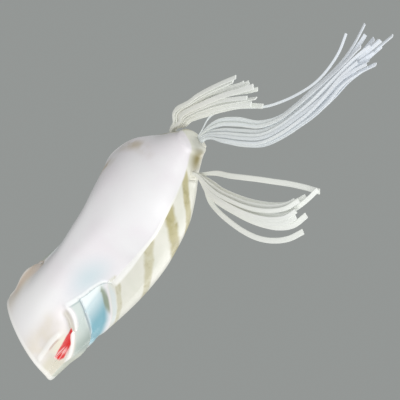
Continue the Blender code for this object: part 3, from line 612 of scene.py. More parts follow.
def chamber():
    rings = []
    for k, s in enumerate(np.linspace(NOSE_BLOCK, BODY_LENGTH - TAIL_BLOCK, CHAMBER_RINGS)):
        y, z = (v[0] for v in half_section(s, 10, 4, 8))
        middle = (z[0] + z[-1]) / 2
        y = y * (1 - WALL / y.max())
        z = middle + (z - middle) * (1 - 2 * WALL / (z[-1] - z[0]))
        left = np.stack([np.full(len(y), REST_STATION - s), y, z], axis=1)
        ring = np.concatenate([left, left[-2:0:-1] * MIRROR])
        if k in (0, CHAMBER_RINGS - 1):
            ring = scaled_ring(ring, ring.mean(0), CHAMBER_END, 0.0)
        rings.append(ring)
    return mesh_from_rings("chamber", rings)


def drum(name, low, high, radius, axis, origin, sides=64):
    """Plain cylinder between two distances along an axis."""
    return mesh_from_rings(name, lathe_rings([(low, radius), (high, radius)], axis, origin, sides))


nose = np.array([0, 0, MOUTH_HEIGHT])
cutters = [drum("nose_bore", BORE_REAR, BORE_FRONT, NOSE_BORE, (1, 0, 0), nose),
           drum("nose_seat", NOSE_FRONT, SEAT_FRONT, FLANGE_SEAT, (1, 0, 0), nose)]
for carrier, (pivot, axis, (radius, height, lift, face)) in SKIRTS.items():
    half = height / 2 + SEAT_GAP
    cutters.append(drum(carrier + "_seat", lift - half, lift + half, radius + SEAT_GAP, (0, 0, 1), pivot))
cutters.append(chamber())
for side in (1, -1):
    at, axis = eye_frame(side)
    cutters.append(drum("eye_socket", -EYE_SEAT - FIT, SOCKET_REACH, EYE_RADIUS + FIT, axis, at, 48))
    cutters.append(hull_mesh("hook_slot", slot_points(side)))
helpers = []
for cutter in cutters:
    helper = add_object(cutter.name, cutter)
    cut = skin.modifiers.new(cutter.name, "BOOLEAN")
    cut.operation = "DIFFERENCE"
    cut.solver = "EXACT"
    cut.object = helper
    helpers.append(helper)
whole = bpy.data.meshes.new_from_object(skin.evaluated_get(bpy.context.evaluated_depsgraph_get()))
skin.modifiers.clear()
skin.data = whole
for helper in helpers:
    bpy.data.objects.remove(helper)
print("cut skin:", len(skin.data.polygons), "faces")

# %% [markdown]
# ## Gill covers
# Each side of the head has a swollen cheek, a crescent slit with a raised lip behind it, a gill cover that
# ends in a step, and a sunk facet behind the step with a thin rim along the belly. They could be sculpted,
# but the two sides have to match, so one function of station and height gives the push along the surface's
# normal.

# %% Gill relief
GILL_START, GILL_FOOT = 7.0, 3.2
LIP_REACH, LIP_RISE, LIP_ROUNDNESS = 12.9, 5.95, 2.15
COVER_REACH, COVER_RISE, COVER_ROUNDNESS = 17.1, 10.5, 1.45
RIM = ((0.0, 3.0), (19.0, 3.4), (20.8, 4.2), (23.4, 5.1), (25.1, 5.7), (27.1, 6.1), (29.1, 6.55), (30.8, 6.9),
       (31.6, 7.6), (32.0, 8.5), (32.3, 9.6))
FACET_EDGE = 27.0
SLIT_LOW = ((0.0, 6.8), (6.4, 6.6), (9.1, 6.2), (11.9, 6.1), (14.1, 6.2), (16.0, 6.6))
SLIT_HIGH = ((0.0, 8.2), (5.9, 8.3), (7.9, 8.8), (10.6, 8.8), (12.6, 8.65), (14.1, 8.1), (15.1, 7.3),
             (16.0, 6.6))
SLIT_FRONT, SLIT_REAR = 5.8, 16.0
SEAT_LIP = 0.25
CHINE_BEAD = 0.2
RIDGE_BEND = 0.028


def note(mesh, measures):
    """Store measures of the surface on the points of a mesh."""
    for name, values in measures.items():
        mesh.attributes.new(name, "FLOAT", "POINT").data.foreach_set("value", values.astype(np.float32))


def through(line, s):
    return np.interp(s, [p[0] for p in line], [p[1] for p in line])


def gill_measures(s, z):
    """Measures of the surface that the relief and the paint both read."""
    back, up = np.maximum(s - GILL_START, 0.0), np.maximum(z - GILL_FOOT, 0.0)
    lip = ((back / LIP_REACH) ** LIP_ROUNDNESS + (up / LIP_RISE) ** LIP_ROUNDNESS) ** (1 / LIP_ROUNDNESS)
    n = COVER_ROUNDNESS
    cover = ((back / COVER_REACH) ** n + (up / COVER_RISE) ** n) ** (1 / n)
    foot_gap = z - through(RIM, s)
    rear_gap = FACET_EDGE - s - 2 * (z - 9.7)
    slit = np.minimum(z - through(SLIT_LOW, s), through(SLIT_HIGH, s) - z)
    slit = np.minimum(slit, np.minimum(s - SLIT_FRONT, SLIT_REAR - s))
    pocket = ease(cover - 1, 0.025) * ease(foot_gap, 0.3) * ease(rear_gap, 4.5) * ease(s - 12.5, 2.5)
    return lip, cover, foot_gap, rear_gap, slit, pocket


def gill_relief(s, z):
    lip, cover, foot_gap, rear_gap, slit, pocket = gill_measures(s, z)
    cheek = 1.9 * ease(1 - np.hypot((s - 12.0) / 8.8, (z - 6.4) / 5.2), 1)
    ends = ease(s - 5.0, 4.0) * ease(z - 2.8, 1.2)
    lip_ridge = 0.4 * bell(lip - 1.01, 0.045) * ends
    groove = 0.55 * bell(lip - 0.87, 0.06) * ease(s - 13.5, 2.5) * ease(z - 3.3, 1.2)
    ridge_level = 4.4 + RIDGE_BEND * np.maximum(s - 9, 0) ** 2
    front_ridge = 0.34 * bell(z - ridge_level, 0.5) * ease(s - 0.4, 2.0) * ease(15.0 - s, 2.5)
    front_crease = 0.2 * bell(z - ridge_level - 0.62, 0.22) * ease(s - 6.5, 2.0) * ease(13.4 - s, 2.0)
    band = 0.32 * ease(lip - 1.03, 0.05) * ease(1.01 - cover, 0.02) * ends * ease(foot_gap + 0.4, 0.6)
    rim = 0.45 * bell(foot_gap + 0.4, 0.45) * ease(s - 19.5, 2.0) * ease(32.4 - s, 0.8) * ease(8.6 - z, 0.8)
    return (cheek + lip_ridge - groove + front_ridge - front_crease + band + rim
            - 0.45 * ease(slit, 0.5) - 0.6 * pocket)


count = len(skin.data.vertices)
points = np.empty(count * 3)
normals = np.empty(count * 3)
skin.data.vertices.foreach_get("co", points)
skin.data.vertices.foreach_get("normal", normals)
points, normals = points.reshape(-1, 3) / MM, normals.reshape(-1, 3)
station = REST_STATION - points[:, 0]
for _ in range(30):
    station = REST_STATION - points[:, 0] + mouth_shift(station, points[:, 2])
level = points[:, 2].copy()
outside = normals[:, 1] * points[:, 1] + normals[:, 2] * (level - 9.0) > 0
chine_gap = level - along(CHINE, station) + BELLY_FLAT
push = gill_relief(station, level)
push += CHINE_BEAD * bell(chine_gap, 0.35) * ease(station - 31.5, 1.5) * ease(62.0 - station, 8.0)
for pivot, axis, root in SKIRTS.values():
    beside = np.hypot(points[:, 0] - pivot[0], points[:, 1] - pivot[1]) - root[0]
    above = np.abs(level - pivot[2] - root[2]) - root[1] / 2
    push += SEAT_LIP * bell(np.maximum(np.maximum(beside, above), 0.0), 0.9)
push = np.where(outside, push, 0.0)
in_plane = normals * np.array([0.0, 1.0, 1.0])
in_plane /= np.maximum(np.linalg.norm(in_plane, axis=1, keepdims=True), 1e-6)
moved = points + in_plane * push[:, None]
moved[:, 2] = np.maximum(moved[:, 2], 0.0)
skin.data.vertices.foreach_set("co", (moved * MM).ravel())

lip, cover, foot_gap, rear_gap, slit, pocket = gill_measures(station, level)
note(skin.data, {
    "station": station, "level": level, "chine_gap": chine_gap, "lip": lip, "cover": cover,
    "foot_gap": foot_gap, "slit": slit, "pocket": pocket, "rear_gap": rear_gap,
    "far_side": np.clip(points[:, 1], 0, 1), "half": np.abs(points[:, 1])})
skin.data.shade_smooth()
skin.data.set_sharp_from_angle(angle=math.radians(38))
skin.data.update()
print("relief from", round(float(push.min()), 2), "to", round(float(push.max()), 2), "mm")

# %% [markdown]
# ## Pearl paint
# The belly is pearl white, the side is ivory with khaki bars that slant up and forward, and the facet
# behind the gill runs from white to sky blue. Painting a picture would do, but measures of the surface are
# already stored on the mesh, so soft steps of those measures place each colour, and noise breaks up the
# edges.

# %% Pearl paint
PEARL = (0.84, 0.835, 0.845)
IVORY = (0.71, 0.715, 0.625)
KHAKI = (0.46, 0.42, 0.22)
SKY = (0.24, 0.47, 0.55)
OLIVE = (0.26, 0.31, 0.20)
BLOOD = (0.74, 0.06, 0.06)
WHITE = (0.95, 0.95, 0.92)
BEIGE = (0.78, 0.71, 0.57)

pearl = Paint("pearl_moulding", roughness=0.4, Coat_Weight=0.06, Coat_Roughness=0.3)
at = pearl.place()
s, z, half = pearl.measure("station"), pearl.measure("level"), pearl.measure("half")
gap, lip_at, cover_at = pearl.measure("chine_gap"), pearl.measure("lip"), pearl.measure("cover")
foot_at, slit_at, pocket_at = pearl.measure("foot_gap"), pearl.measure("slit"), pearl.measure("pocket")
rear_at, far_at = pearl.measure("rear_gap"), pearl.measure("far_side")
cloud = pearl.noise(at, 90, 3)
mottle = pearl.noise(at, 260, 4)
grain = pearl.noise(at, 900, 2)
patchy = pearl.step(mottle, 0.3, 0.65)
step, line, spot, both = pearl.step, pearl.line, pearl.spot, pearl.both


def lay(share, strength, colour):
    """Lay a colour over the paint so far: real paint, painted light and painted shade alike."""
    return pearl.mix(pearl.math("MULTIPLY", share, strength), paint, colour)


paint = pearl.mix(step(cloud, 0.35, 0.7), PEARL, (0.82, 0.79, 0.815))
ivory = pearl.mix(patchy, IVORY, (0.75, 0.745, 0.665))
behind_facet = both(step(rear_at, 0.3, -0.8), step(z, 7.0, 7.8), step(s, 15, 20), step(s, 35, 33))
flank = pearl.math("MAXIMUM", both(step(gap, -0.3, 0.2), step(s, 29, 33)), behind_facet)
paint = pearl.mix(pearl.math("MAXIMUM", flank, step(z, 13.0, 15.5)), paint, ivory)

# %% [markdown]
# The bars lean forward as they climb, so each is a soft line in station plus a share of the height. A slow
# noise is added to that sum before the line is drawn, which makes the edges wander like an airbrush held by
# hand.

# %% Bars, patches and painted light
# slant, centre, half width and strength of each bar
BARS = ((2.0, 31.1, 1.3, 0.4), (1.85, 43.2, 2.6, 0.6), (1.3, 54.4, 2.9, 1.0), (1.8, 63.4, 2.3, 0.9))
wander = pearl.math("MULTIPLY", pearl.math("SUBTRACT", pearl.noise(at, 230, 3), 0.5), 2.4)
bars = 0.0
for slant, centre, width, strength in BARS:
    lean = pearl.math("MULTIPLY", pearl.math("SUBTRACT", z, 9.5), slant)
    bar_at = pearl.math("ADD", pearl.math("ADD", s, lean), wander)
    bars = pearl.math("MAXIMUM", bars, pearl.math("MULTIPLY", line(bar_at, centre, width), strength))
bars = pearl.math("MULTIPLY", bars, step(mottle, 0.1, 0.45))
paint = lay(both(bars, flank), 1.0, KHAKI)
brushed = step(pearl.noise(at, 520, 3), 0.48, 0.66)
paint = lay(both(bars, flank, brushed), 0.6, (0.33, 0.30, 0.14))
paint = lay(both(spot(s, z, (50.4, 12.7), (2.6, 2.6)), flank), 0.6, (0.36, 0.32, 0.15))
paint = lay(both(spot(s, z, (68.4, 11.0), (3.8, 2.6)), step(half, 2.2, 3.2)), 1.0, (0.26, 0.22, 0.09))
# Painted highlight: a thin white line along the chine crease, where the crease catches the light.
paint = lay(both(line(gap, 0.0, 0.45), step(s, 31.5, 33), step(s, 64, 58)), 0.85, WHITE)
# Warm brown patches on the rump, laid on the far side only.
for place, size in (((58.6, 4.7), (6.0, 1.8)), ((50.5, 3.2), (5.0, 1.4))):
    paint = lay(both(spot(s, z, place, size), far_at, patchy), 0.9, (0.52, 0.44, 0.29))
paint = lay(spot(s, z, (30.0, 4.1), (11.0, 4.4)), 0.75, (0.58, 0.71, 0.75))
# Painted light: the low front of the belly is painted lighter, where more light falls on it.
paint = lay(both(step(s, 30, 12), step(z, 3.0, 1.0)), 0.8, (0.93, 0.925, 0.92))

# %% [markdown]
# The head carries the most paint: beige on the cheek, a cream ridge in front of the slit, a grey-green band
# on the gill cover whose lower part is darkened as painted shade, and the sunk facet that fades from white to
# blue with an olive smudge at its upper corner. Painted shade also lies on the far cheek, in the groove in
# front of the lip, along the step of the cover and just above the rim.

# %% Paint of the head
past = pearl.math("MAXIMUM", pearl.math("SUBTRACT", s, 9.0), 0.0)
ridge_at = pearl.math("SUBTRACT", z, pearl.math("MULTIPLY", pearl.math("MULTIPLY", past, past), RIDGE_BEND))
paint = lay(both(step(z, 0.8, 2.6), step(s, 19, 13)), 0.35, BEIGE)
paint = lay(both(step(z, 1.0, 2.8), step(s, 17.5, 13), patchy), 0.45, BEIGE)
paint = lay(both(step(z, 4.6, 6.5), step(s, 9, 5)), 0.7, (0.69, 0.66, 0.53))
paint = lay(spot(s, z, (17.6, 3.3), (3.2, 1.6)), 0.7, (0.92, 0.87, 0.86))
# Painted shade with a warm reflected tint: the far cheek alone is painted tan.
far_cheek_painted_shade = both(far_at, step(z, 2.0, 3.2), step(z, 15, 10), step(s, 22, 14), step(s, 2, 8))
paint = lay(far_cheek_painted_shade, 0.75, (0.82, 0.66, 0.52))
ridge = both(step(ridge_at, 4.9, 5.4), step(s, 6, 8), step(s, 15, 13), step(z, 7, 6))
paint = lay(ridge, 0.5, (0.86, 0.81, 0.62))
paint = lay(both(line(ridge_at, 4.4, 0.6), step(s, 0.5, 3), step(s, 15, 13)), 0.6, WHITE)
paint = lay(both(line(ridge_at, 4.95, 0.26), step(s, 6.5, 8), step(s, 13, 11.5)), 0.5, (0.55, 0.36, 0.28))
band = both(step(lip_at, 1.04, 1.1), step(cover_at, 1.01, 0.99), step(z, 3.8, 5.0))
paint = lay(band, 0.65, (0.57, 0.69, 0.63))
# Painted shade: the gill cover darkens towards its lower edge, where it turns away from the light, greenish
# beige farther forward.
paint = lay(both(band, step(z, 7.8, 10.4), step(s, 8, 13)), 0.85, (0.31, 0.38, 0.35))
paint = lay(both(band, step(z, 8.6, 10.5), step(s, 13, 8)), 0.7, (0.52, 0.52, 0.43))
# Painted shade in the groove in front of the lip.
paint = lay(both(line(lip_at, 0.89, 0.09), step(s, 14.2, 16), step(z, 3.4, 4.6)), 0.6, (0.50, 0.47, 0.36))
paint = lay(both(line(lip_at, 1.01, 0.05), step(s, 6, 8), step(z, 3.4, 4.4)), 0.9, WHITE)
paint = lay(step(s, 1.7, 0.7), 0.6, WHITE)

paint = lay(pocket_at, 1.0, (0.88, 0.94, 0.94))
aqua = both(step(cover_at, 1.0, 1.03), step(z, 7.0, 9.6), step(rear_at, 0.0, 3.6), step(s, 11, 14))
paint = lay(aqua, 1.0, SKY)
paint = lay(both(spot(s, z, (29.4, 8.0), (3.0, 1.3)), pocket_at), 0.5, (0.70, 0.77, 0.60))
paint = lay(both(line(rear_at, 1.6, 1.7), step(s, 24.4, 26.4), step(s, 29.8, 27.8)), 0.85, OLIVE)
paint = lay(both(line(rear_at, -1.4, 1.3), step(s, 20, 24), step(s, 32, 30)), 0.7, (0.68, 0.75, 0.77))
# Painted shadow: a thin dark line along the step of the gill cover.
paint = lay(both(line(cover_at, 1.006, 0.009), step(z, 4.6, 5.6)), 0.6, (0.24, 0.34, 0.36))
rim_ends = both(step(s, 19.6, 21.5), step(s, 32.6, 31.9), step(z, 8.6, 7.8))
# Painted shade: a grey-blue line in the facet just above the rim.
paint = lay(both(line(foot_at, 0.3, 0.3), rim_ends), 0.6, (0.42, 0.52, 0.52))
paint = lay(both(line(foot_at, -0.35, 0.62), rim_ends), 0.8, (0.92, 0.95, 0.94))

streak = pearl.noise(pearl.join(pearl.math("MULTIPLY", s, 0.12), pearl.math("MULTIPLY", z, 2.2), 0.0), 1.0, 1)
raw = pearl.mix(step(streak, 0.46, 0.58), BLOOD, (0.92, 0.58, 0.56))
paint = pearl.mix(step(slit_at, -0.1, 0.2), paint, raw)

# %% [markdown]
# Last come a few dark specks, as every used or stored soft lure has, and a fine grain that takes the mirror
# off the pearl.

# %% Specks and gloss
SWELL_SHARE, GRAIN_SHARE = 0.5, 0.02
speck_gap, speck_tone = pearl.speckle(at, 160)
specks = both(step(speck_gap, 0.05, 0.02), step(speck_tone, 0.86, 0.9))
paint = lay(specks, 0.5, (0.40, 0.36, 0.30))
pearl.colour(paint)
pearl.roughness(grain, 0.12, 0.34)
swell = pearl.noise(at, 70, 1)
waviness = pearl.math("MULTIPLY", swell, SWELL_SHARE)
pearl.bump(pearl.math("ADD", waviness, pearl.math("MULTIPLY", grain, GRAIN_SHARE)), 0.3, 0.002)
skin.data.materials.clear()
skin.data.materials.append(pearl.material)
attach(skin, "hull")
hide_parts("body_shell")
print("pearl paint has", len(pearl.tree.nodes), "nodes")

# %% [markdown]
# ## Strands by Geometry Nodes
# A skirt is a bunch of flat silicone strips. Bevelled curves would give them, but a node tree that sweeps a
# rounded strip along every guide curve makes all of them at once, and it can store on each strip how far
# along and across a point lies, so that the silicone's streaks follow the strip.

# %% Node tree that sweeps strips


def new_tree(name, inputs):
    """Empty geometry tree with named inputs after the geometry; gives the tree, its group sockets and ids."""
    tree = bpy.data.node_groups.new(name, "GeometryNodeTree")
    tree.interface.new_socket("Geometry", in_out="INPUT", socket_type="NodeSocketGeometry")
    tree.interface.new_socket("Geometry", in_out="OUTPUT", socket_type="NodeSocketGeometry")
    ids = {}
    for label, kind in inputs:
        ids[label] = tree.interface.new_socket(label, in_out="INPUT", socket_type=kind).identifier
    return tree, tree.nodes.new("NodeGroupInput"), tree.nodes.new("NodeGroupOutput"), ids


def add_node(tree, kind, links=(), **settings):
    """Node with its settings and its inputs wired or set."""
    node = tree.nodes.new(kind)
    for name, value in settings.items():
        setattr(node, name, value)
    for socket, value in links:
        target = node.inputs[socket]
        if isinstance(value, bpy.types.NodeSocket):
            tree.links.new(value, target)
        else:
            target.default_value = value
    return node


def figure(tree, operation, first, second):
    """Output of a math node on two values."""
    return add_node(tree, "ShaderNodeMath", [(0, first), (1, second)], operation=operation).outputs[0]


def stored(tree, shape, name, value):
    """Shape that carries a value under a name on its points."""
    links = [("Geometry", shape), ("Name", name), ("Value", value)]
    node = add_node(tree, "GeometryNodeStoreNamedAttribute", links, data_type="FLOAT", domain="POINT")
    return node.outputs[0]


def finish_sweep(tree, given, end, guide, profile):
    """Sweep the profile along the guide, scaled by the guide's radius, and hand the mesh out."""
    swept = add_node(tree, "GeometryNodeCurveToMesh", [
        ("Curve", guide), ("Profile Curve", profile),
        ("Scale", add_node(tree, "GeometryNodeInputRadius").outputs[0]), ("Fill Caps", True)])
    smooth = add_node(tree, "GeometryNodeSetShadeSmooth", [("Geometry", swept.outputs[0])])
    finish = add_node(tree, "GeometryNodeSetMaterial", [
        ("Geometry", smooth.outputs[0]), ("Material", given["Finish"])])
    tree.links.new(finish.outputs[0], end.inputs["Geometry"])


EDGE_ROUNDING = 0.35
TONE_SEED = 7


def strip_tree():
    tree, start, end, ids = new_tree("strip_sweep", [
        ("Width", "NodeSocketFloat"), ("Thickness", "NodeSocketFloat"), ("Step", "NodeSocketFloat"),
        ("Lean", "NodeSocketFloat"), ("Twist", "NodeSocketFloat"), ("Seed", "NodeSocketInt"),
        ("Finish", "NodeSocketMaterial")])
    given = start.outputs
    fine = add_node(tree, "GeometryNodeResampleCurve", [
        ("Curve", given["Geometry"]), ("Length", given["Step"])], mode="LENGTH")
    flat = add_node(tree, "GeometryNodeSetCurveNormal", [("Curve", fine.outputs[0])], mode="Z_UP")
    along_strip = add_node(tree, "GeometryNodeSplineParameter").outputs["Factor"]
    owner = add_node(tree, "GeometryNodeCurveOfPoint").outputs["Curve Index"]
    chance = add_node(tree, "FunctionNodeRandomValue", [
        (2, -1.0), ("ID", owner), ("Seed", given["Seed"])], data_type="FLOAT")
    turn = figure(tree, "ADD", figure(tree, "MULTIPLY", chance.outputs[1], given["Twist"]), given["Lean"])
    tilted = add_node(tree, "GeometryNodeSetCurveTilt", [
        ("Curve", flat.outputs[0]), ("Tilt", figure(tree, "MULTIPLY", turn, along_strip))])
    tone = add_node(tree, "FunctionNodeRandomValue", [("ID", owner), ("Seed", TONE_SEED)], data_type="FLOAT")
    guide = stored(tree, tilted.outputs[0], "lengthwise", along_strip)
    guide = stored(tree, guide, "tone", tone.outputs[1])
    strip = add_node(tree, "GeometryNodeCurvePrimitiveQuadrilateral", [
        ("Width", given["Width"]), ("Height", given["Thickness"])], mode="RECTANGLE")
    rounded = add_node(tree, "GeometryNodeFilletCurve", [
        ("Curve", strip.outputs[0]), ("Count", 3),
        ("Radius", figure(tree, "MULTIPLY", given["Thickness"], EDGE_ROUNDING))], mode="POLY")
    finish_sweep(tree, given, end, guide, stored(tree, rounded.outputs[0], "across", along_strip))
    return tree, ids


def swept_mesh(name, routes, tree, ids, values, radii=None):
    """Mesh of a tree's sweep along guide routes in millimetres."""
    curve = bpy.data.curves.new(name + "_guides", "CURVE")
    curve.dimensions = "3D"
    for n, route in enumerate(routes):
        spline = curve.splines.new("POLY")
        spline.points.add(len(route) - 1)
        places = np.concatenate([route * MM, np.ones((len(route), 1))], axis=1)
        spline.points.foreach_set("co", places.ravel())
        if radii is not None:
            spline.points.foreach_set("radius", radii[n])
    guide = bpy.data.objects.new(name + "_guides", curve)
    scene.collection.objects.link(guide)
    sweep = guide.modifiers.new("sweep", "NODES")
    sweep.node_group = tree
    for label, value in values.items():
        sweep[ids[label]] = value
    mesh = bpy.data.meshes.new_from_object(guide.evaluated_get(bpy.context.evaluated_depsgraph_get()))
    mesh.name = name
    guide.modifiers.clear()
    bpy.data.objects.remove(guide)
    return mesh


strips, strip_ids = strip_tree()
print("strip tree has", len(strips.nodes), "nodes")

# %% [markdown]
# ## Silicone
# The legs are ivory and nearly opaque, the tail is thinner, bluer and lets some light through. Both are
# satin, with faint streaks along each strip and small differences of tone between strips.

# %% Silicone finishes


def silicone(name, body, tip, streaked, cover):
    finish = Paint(name, roughness=0.45, Coat_Weight=0.05, Alpha=cover)
    lengthwise, across, tone = finish.measure("lengthwise"), finish.measure("across"), finish.measure("tone")
    flow = finish.join(finish.math("MULTIPLY", lengthwise, 2.0), finish.math("MULTIPLY", across, 3.0),
                       finish.math("MULTIPLY", tone, 40.0))
    streak = finish.noise(flow, 2.2, 2)
    colour = finish.mix(finish.step(lengthwise, 0.2, 1.0), body, tip)
    colour = finish.mix(finish.math("MULTIPLY", finish.step(streak, 0.42, 0.72), 0.55), colour, streaked)
    colour = finish.mix(finish.math("MULTIPLY", tone, 0.35), colour, streaked)
    finish.colour(colour)
    finish.roughness(streak, 0.2, 0.36)
    finish.bump(streak, 0.05, 0.0001)
    return finish


leg_silicone = silicone("leg_silicone", (0.92, 0.92, 0.85), (0.92, 0.94, 0.91), (0.84, 0.87, 0.81), 0.85)
tail_silicone = silicone("tail_silicone", (0.91, 0.94, 0.91), (0.91, 0.94, 0.97), (0.75, 0.81, 0.89), 0.65)
print("silicone finishes ready")

# %% [markdown]
# ## Skirts
# Every strip starts in its root bead and follows a lane, a line that was traced from the photograph and is
# written as places behind and outside the skirt's pivot. Most strips lie somewhere between two lanes, so a
# row of names and shares is enough to lay a strip, and shares that differ at the tip make the strips cross
# as loose ones do.

# %% Lanes and strips of the skirts
LEG_WIDTH, LEG_THICKNESS = 1.15, 0.32
TAIL_WIDTH, TAIL_THICKNESS = 0.8, 0.26
GATHER = 0.7
LEG_COLUMNS, LEG_SPACING, LEG_OUTSET, LONE_LEG = 2, 0.35, 0.15, 1.05
TAIL_COLUMNS, TAIL_SPACING, LONE_TAIL = 5, 0.42, 0.7
TAIL_LEAN, TAIL_TWIST, TAIL_SEED = 0.1, 0.8, 13
ROOT_INSET, ROOT_RUN = 0.5, 1.6
FINE_POINTS, ROUTE_POINTS = 160, 70
WAVE_HEIGHT, WAVE_TURNS = 0.2, 5
ROOT_SLIMNESS, SLIM_SHARE = 0.45, 0.24
SLIMMEST, WIDEST = 0.8, 1.1
STRIP_STEP = 0.6 * MM
LAYER_SPACING = 0.42

RIGHT_LANES = {
    "lone_top": ((6.4, 5.7), (9.9, 9.7), (13.5, 13.5), (16.9, 17.1), (20.1, 20.6), (23.3, 24.1), (26.2, 27.6),
                 (28.8, 31.1)),
    "main_top": ((4.4, 6.7), (6.7, 11.0), (9.5, 15.2), (12.3, 19.0), (15.4, 22.6), (18.7, 25.8), (22.2, 28.4),
                 (25.9, 29.9)),
    "main_low": ((2.1, 8.1), (4.4, 12.9), (7.0, 17.5), (9.6, 21.9), (12.5, 25.9), (15.9, 29.6), (19.8, 32.3),
                 (23.8, 33.2)),
    "cross": ((3.6, 8.5), (6.4, 13.7), (9.5, 18.7), (12.7, 23.3), (16.6, 27.2), (21.1, 29.8), (25.7, 31.2),
              (29.9, 31.7)),
    "lone_low": ((1.1, 8.8), (2.5, 13.4), (4.4, 18.1), (6.5, 22.5), (9.1, 26.6), (12.6, 30.3), (16.5, 33.1),
                 (20.5, 34.7)),
}
LEFT_LANES = {
    "lead": ((3.3, 1.9), (4.8, 2.8), (7.1, 2.4), (9.5, 1.1), (11.8, -0.1), (14.1, -0.9), (16.3, -1.9),
             (18.5, -3.0), (20.7, -4.2), (22.9, -5.4), (25.0, -6.6), (27.0, -7.7)),
    "second": ((4.0, 1.2), (5.7, 1.9), (8.0, 1.3), (10.4, 0.2), (12.8, -0.9), (15.1, -1.9), (17.3, -2.9),
               (19.5, -4.3), (21.6, -5.8), (23.7, -7.4), (25.8, -8.8), (27.8, -9.7)),
    "middle": ((4.7, 0.6), (6.7, 0.7), (9.3, -0.5), (11.8, -1.9), (14.2, -3.3), (16.6, -4.6), (18.8, -5.9),
               (21.1, -7.3), (23.3, -8.8), (25.5, -10.4), (27.6, -11.8), (29.7, -13.2)),
    "fourth": ((4.6, 0.3), (6.9, -0.1), (9.4, -1.5), (11.8, -2.8), (14.0, -4.3), (16.1, -5.6), (18.1, -7.0),
               (20.1, -8.5), (22.1, -10.1), (24.1, -11.6), (26.0, -13.1), (27.8, -14.5)),
    "trail": ((4.8, -0.1), (7.2, -0.9), (9.8, -2.6), (12.0, -4.1), (14.1, -5.5), (16.2, -6.8), (18.1, -8.1),
              (20.1, -9.5), (22.0, -11.0), (23.8, -12.6), (25.5, -14.2), (27.1, -15.9)),
}
TAIL_LANES = {
    "lone": ((7.3, -1.0), (12.1, 1.1), (16.3, 4.7), (20.5, 8.4), (25.3, 11.3), (30.4, 13.8), (35.4, 15.6),
             (40.1, 16.3), (44.5, 16.1), (48.3, 14.8)),
    "top": ((8.2, 1.1), (13.0, 5.0), (17.0, 9.7), (22.0, 12.8), (27.4, 14.2), (32.8, 15.3), (38.2, 16.6),
            (43.4, 17.4), (48.3, 17.3), (52.7, 16.4)),
    "gap": ((7.9, 3.5), (12.3, 7.8), (16.7, 11.9), (21.9, 14.2), (27.2, 15.6), (32.6, 16.9), (37.9, 18.0),
            (43.2, 19.2), (48.2, 20.1), (53.1, 21.4)),
    "far": ((8.2, 4.7), (12.6, 9.7), (17.6, 13.6), (23.0, 15.6), (28.6, 16.9), (34.3, 18.0), (39.8, 19.0),
            (45.3, 20.3), (50.7, 21.5), (55.8, 22.6)),
    "low": ((7.0, 6.2), (10.9, 10.7), (15.1, 14.4), (19.9, 16.5), (24.9, 18.1), (30.1, 19.7), (35.1, 20.6),
            (39.9, 20.9), (44.8, 22.4), (49.5, 24.5)),
}
# two lanes, the share between them at the bead and at the tip, and the length kept
RIGHT_STRIPS = (
    ("main_top", "main_low", 0.33, 0.26, 1.0), ("main_top", "main_low", 0.16, 0.10, 0.96),
    ("main_top", "main_low", 0.50, 0.46, 0.94), ("main_top", "main_low", 0.0, 0.0, 1.0),
    ("lone_top", "main_top", 0.0, 0.0, 1.0), ("main_top", "main_low", 0.66, 0.68, 0.98),
    ("main_top", "main_low", 0.83, 0.82, 0.95), ("cross", "main_low", 0.0, 0.0, 1.0),
    ("main_top", "main_low", 1.0, 1.0, 1.0), ("lone_low", "main_low", 0.0, 0.0, 1.0))
LEFT_STRIPS = (
    ("lead", "second", 0.0, 0.0, 1.0), ("lead", "second", 0.4, 0.12, 0.93),
    ("lead", "second", 0.7, 0.9, 0.97),
    ("second", "middle", 0.0, 0.0, 1.0), ("second", "middle", 0.5, 0.93, 0.96),
    ("middle", "fourth", 0.0, 0.0, 1.0), ("middle", "fourth", 0.5, 0.9, 0.94),
    ("fourth", "trail", 0.0, 0.0, 1.0), ("fourth", "trail", 0.55, 0.85, 0.93),
    ("fourth", "trail", 1.0, 1.0, 1.0))
TAIL_STRIPS = (
    ("lone", "top", 0.0, 0.0, 1.0), ("top", "gap", 0.0, 0.0, 1.0), ("top", "gap", 0.14, 0.2, 0.97),
    ("top", "gap", 0.28, -0.1, 0.93), ("top", "gap", 0.42, 0.45, 0.98), ("top", "gap", 0.5, 0.8, 0.94),
    ("gap", "low", 0.0, 0.0, 1.0), ("gap", "low", 0.1, -0.25, 0.97), ("far", "low", 0.0, 0.0, 1.0),
    ("gap", "low", 0.2, 0.35, 0.93), ("gap", "low", 0.3, 0.1, 0.98), ("far", "gap", 0.2, 0.1, 0.97),
    ("gap", "low", 0.38, 0.6, 0.95), ("gap", "low", 0.46, 0.0, 0.93), ("far", "gap", -0.3, 0.35, 0.95),
    ("gap", "low", 0.54, 0.9, 0.97), ("gap", "low", 0.62, 0.45, 0.99), ("far", "low", 0.5, 0.1, 0.92),
    ("gap", "low", 0.7, 0.25, 0.94), ("gap", "low", 0.78, 0.75, 0.96), ("gap", "low", 0.86, 0.5, 0.92),
    ("gap", "low", 0.94, 1.05, 0.97), ("gap", "low", 1.0, 1.0, 1.0))


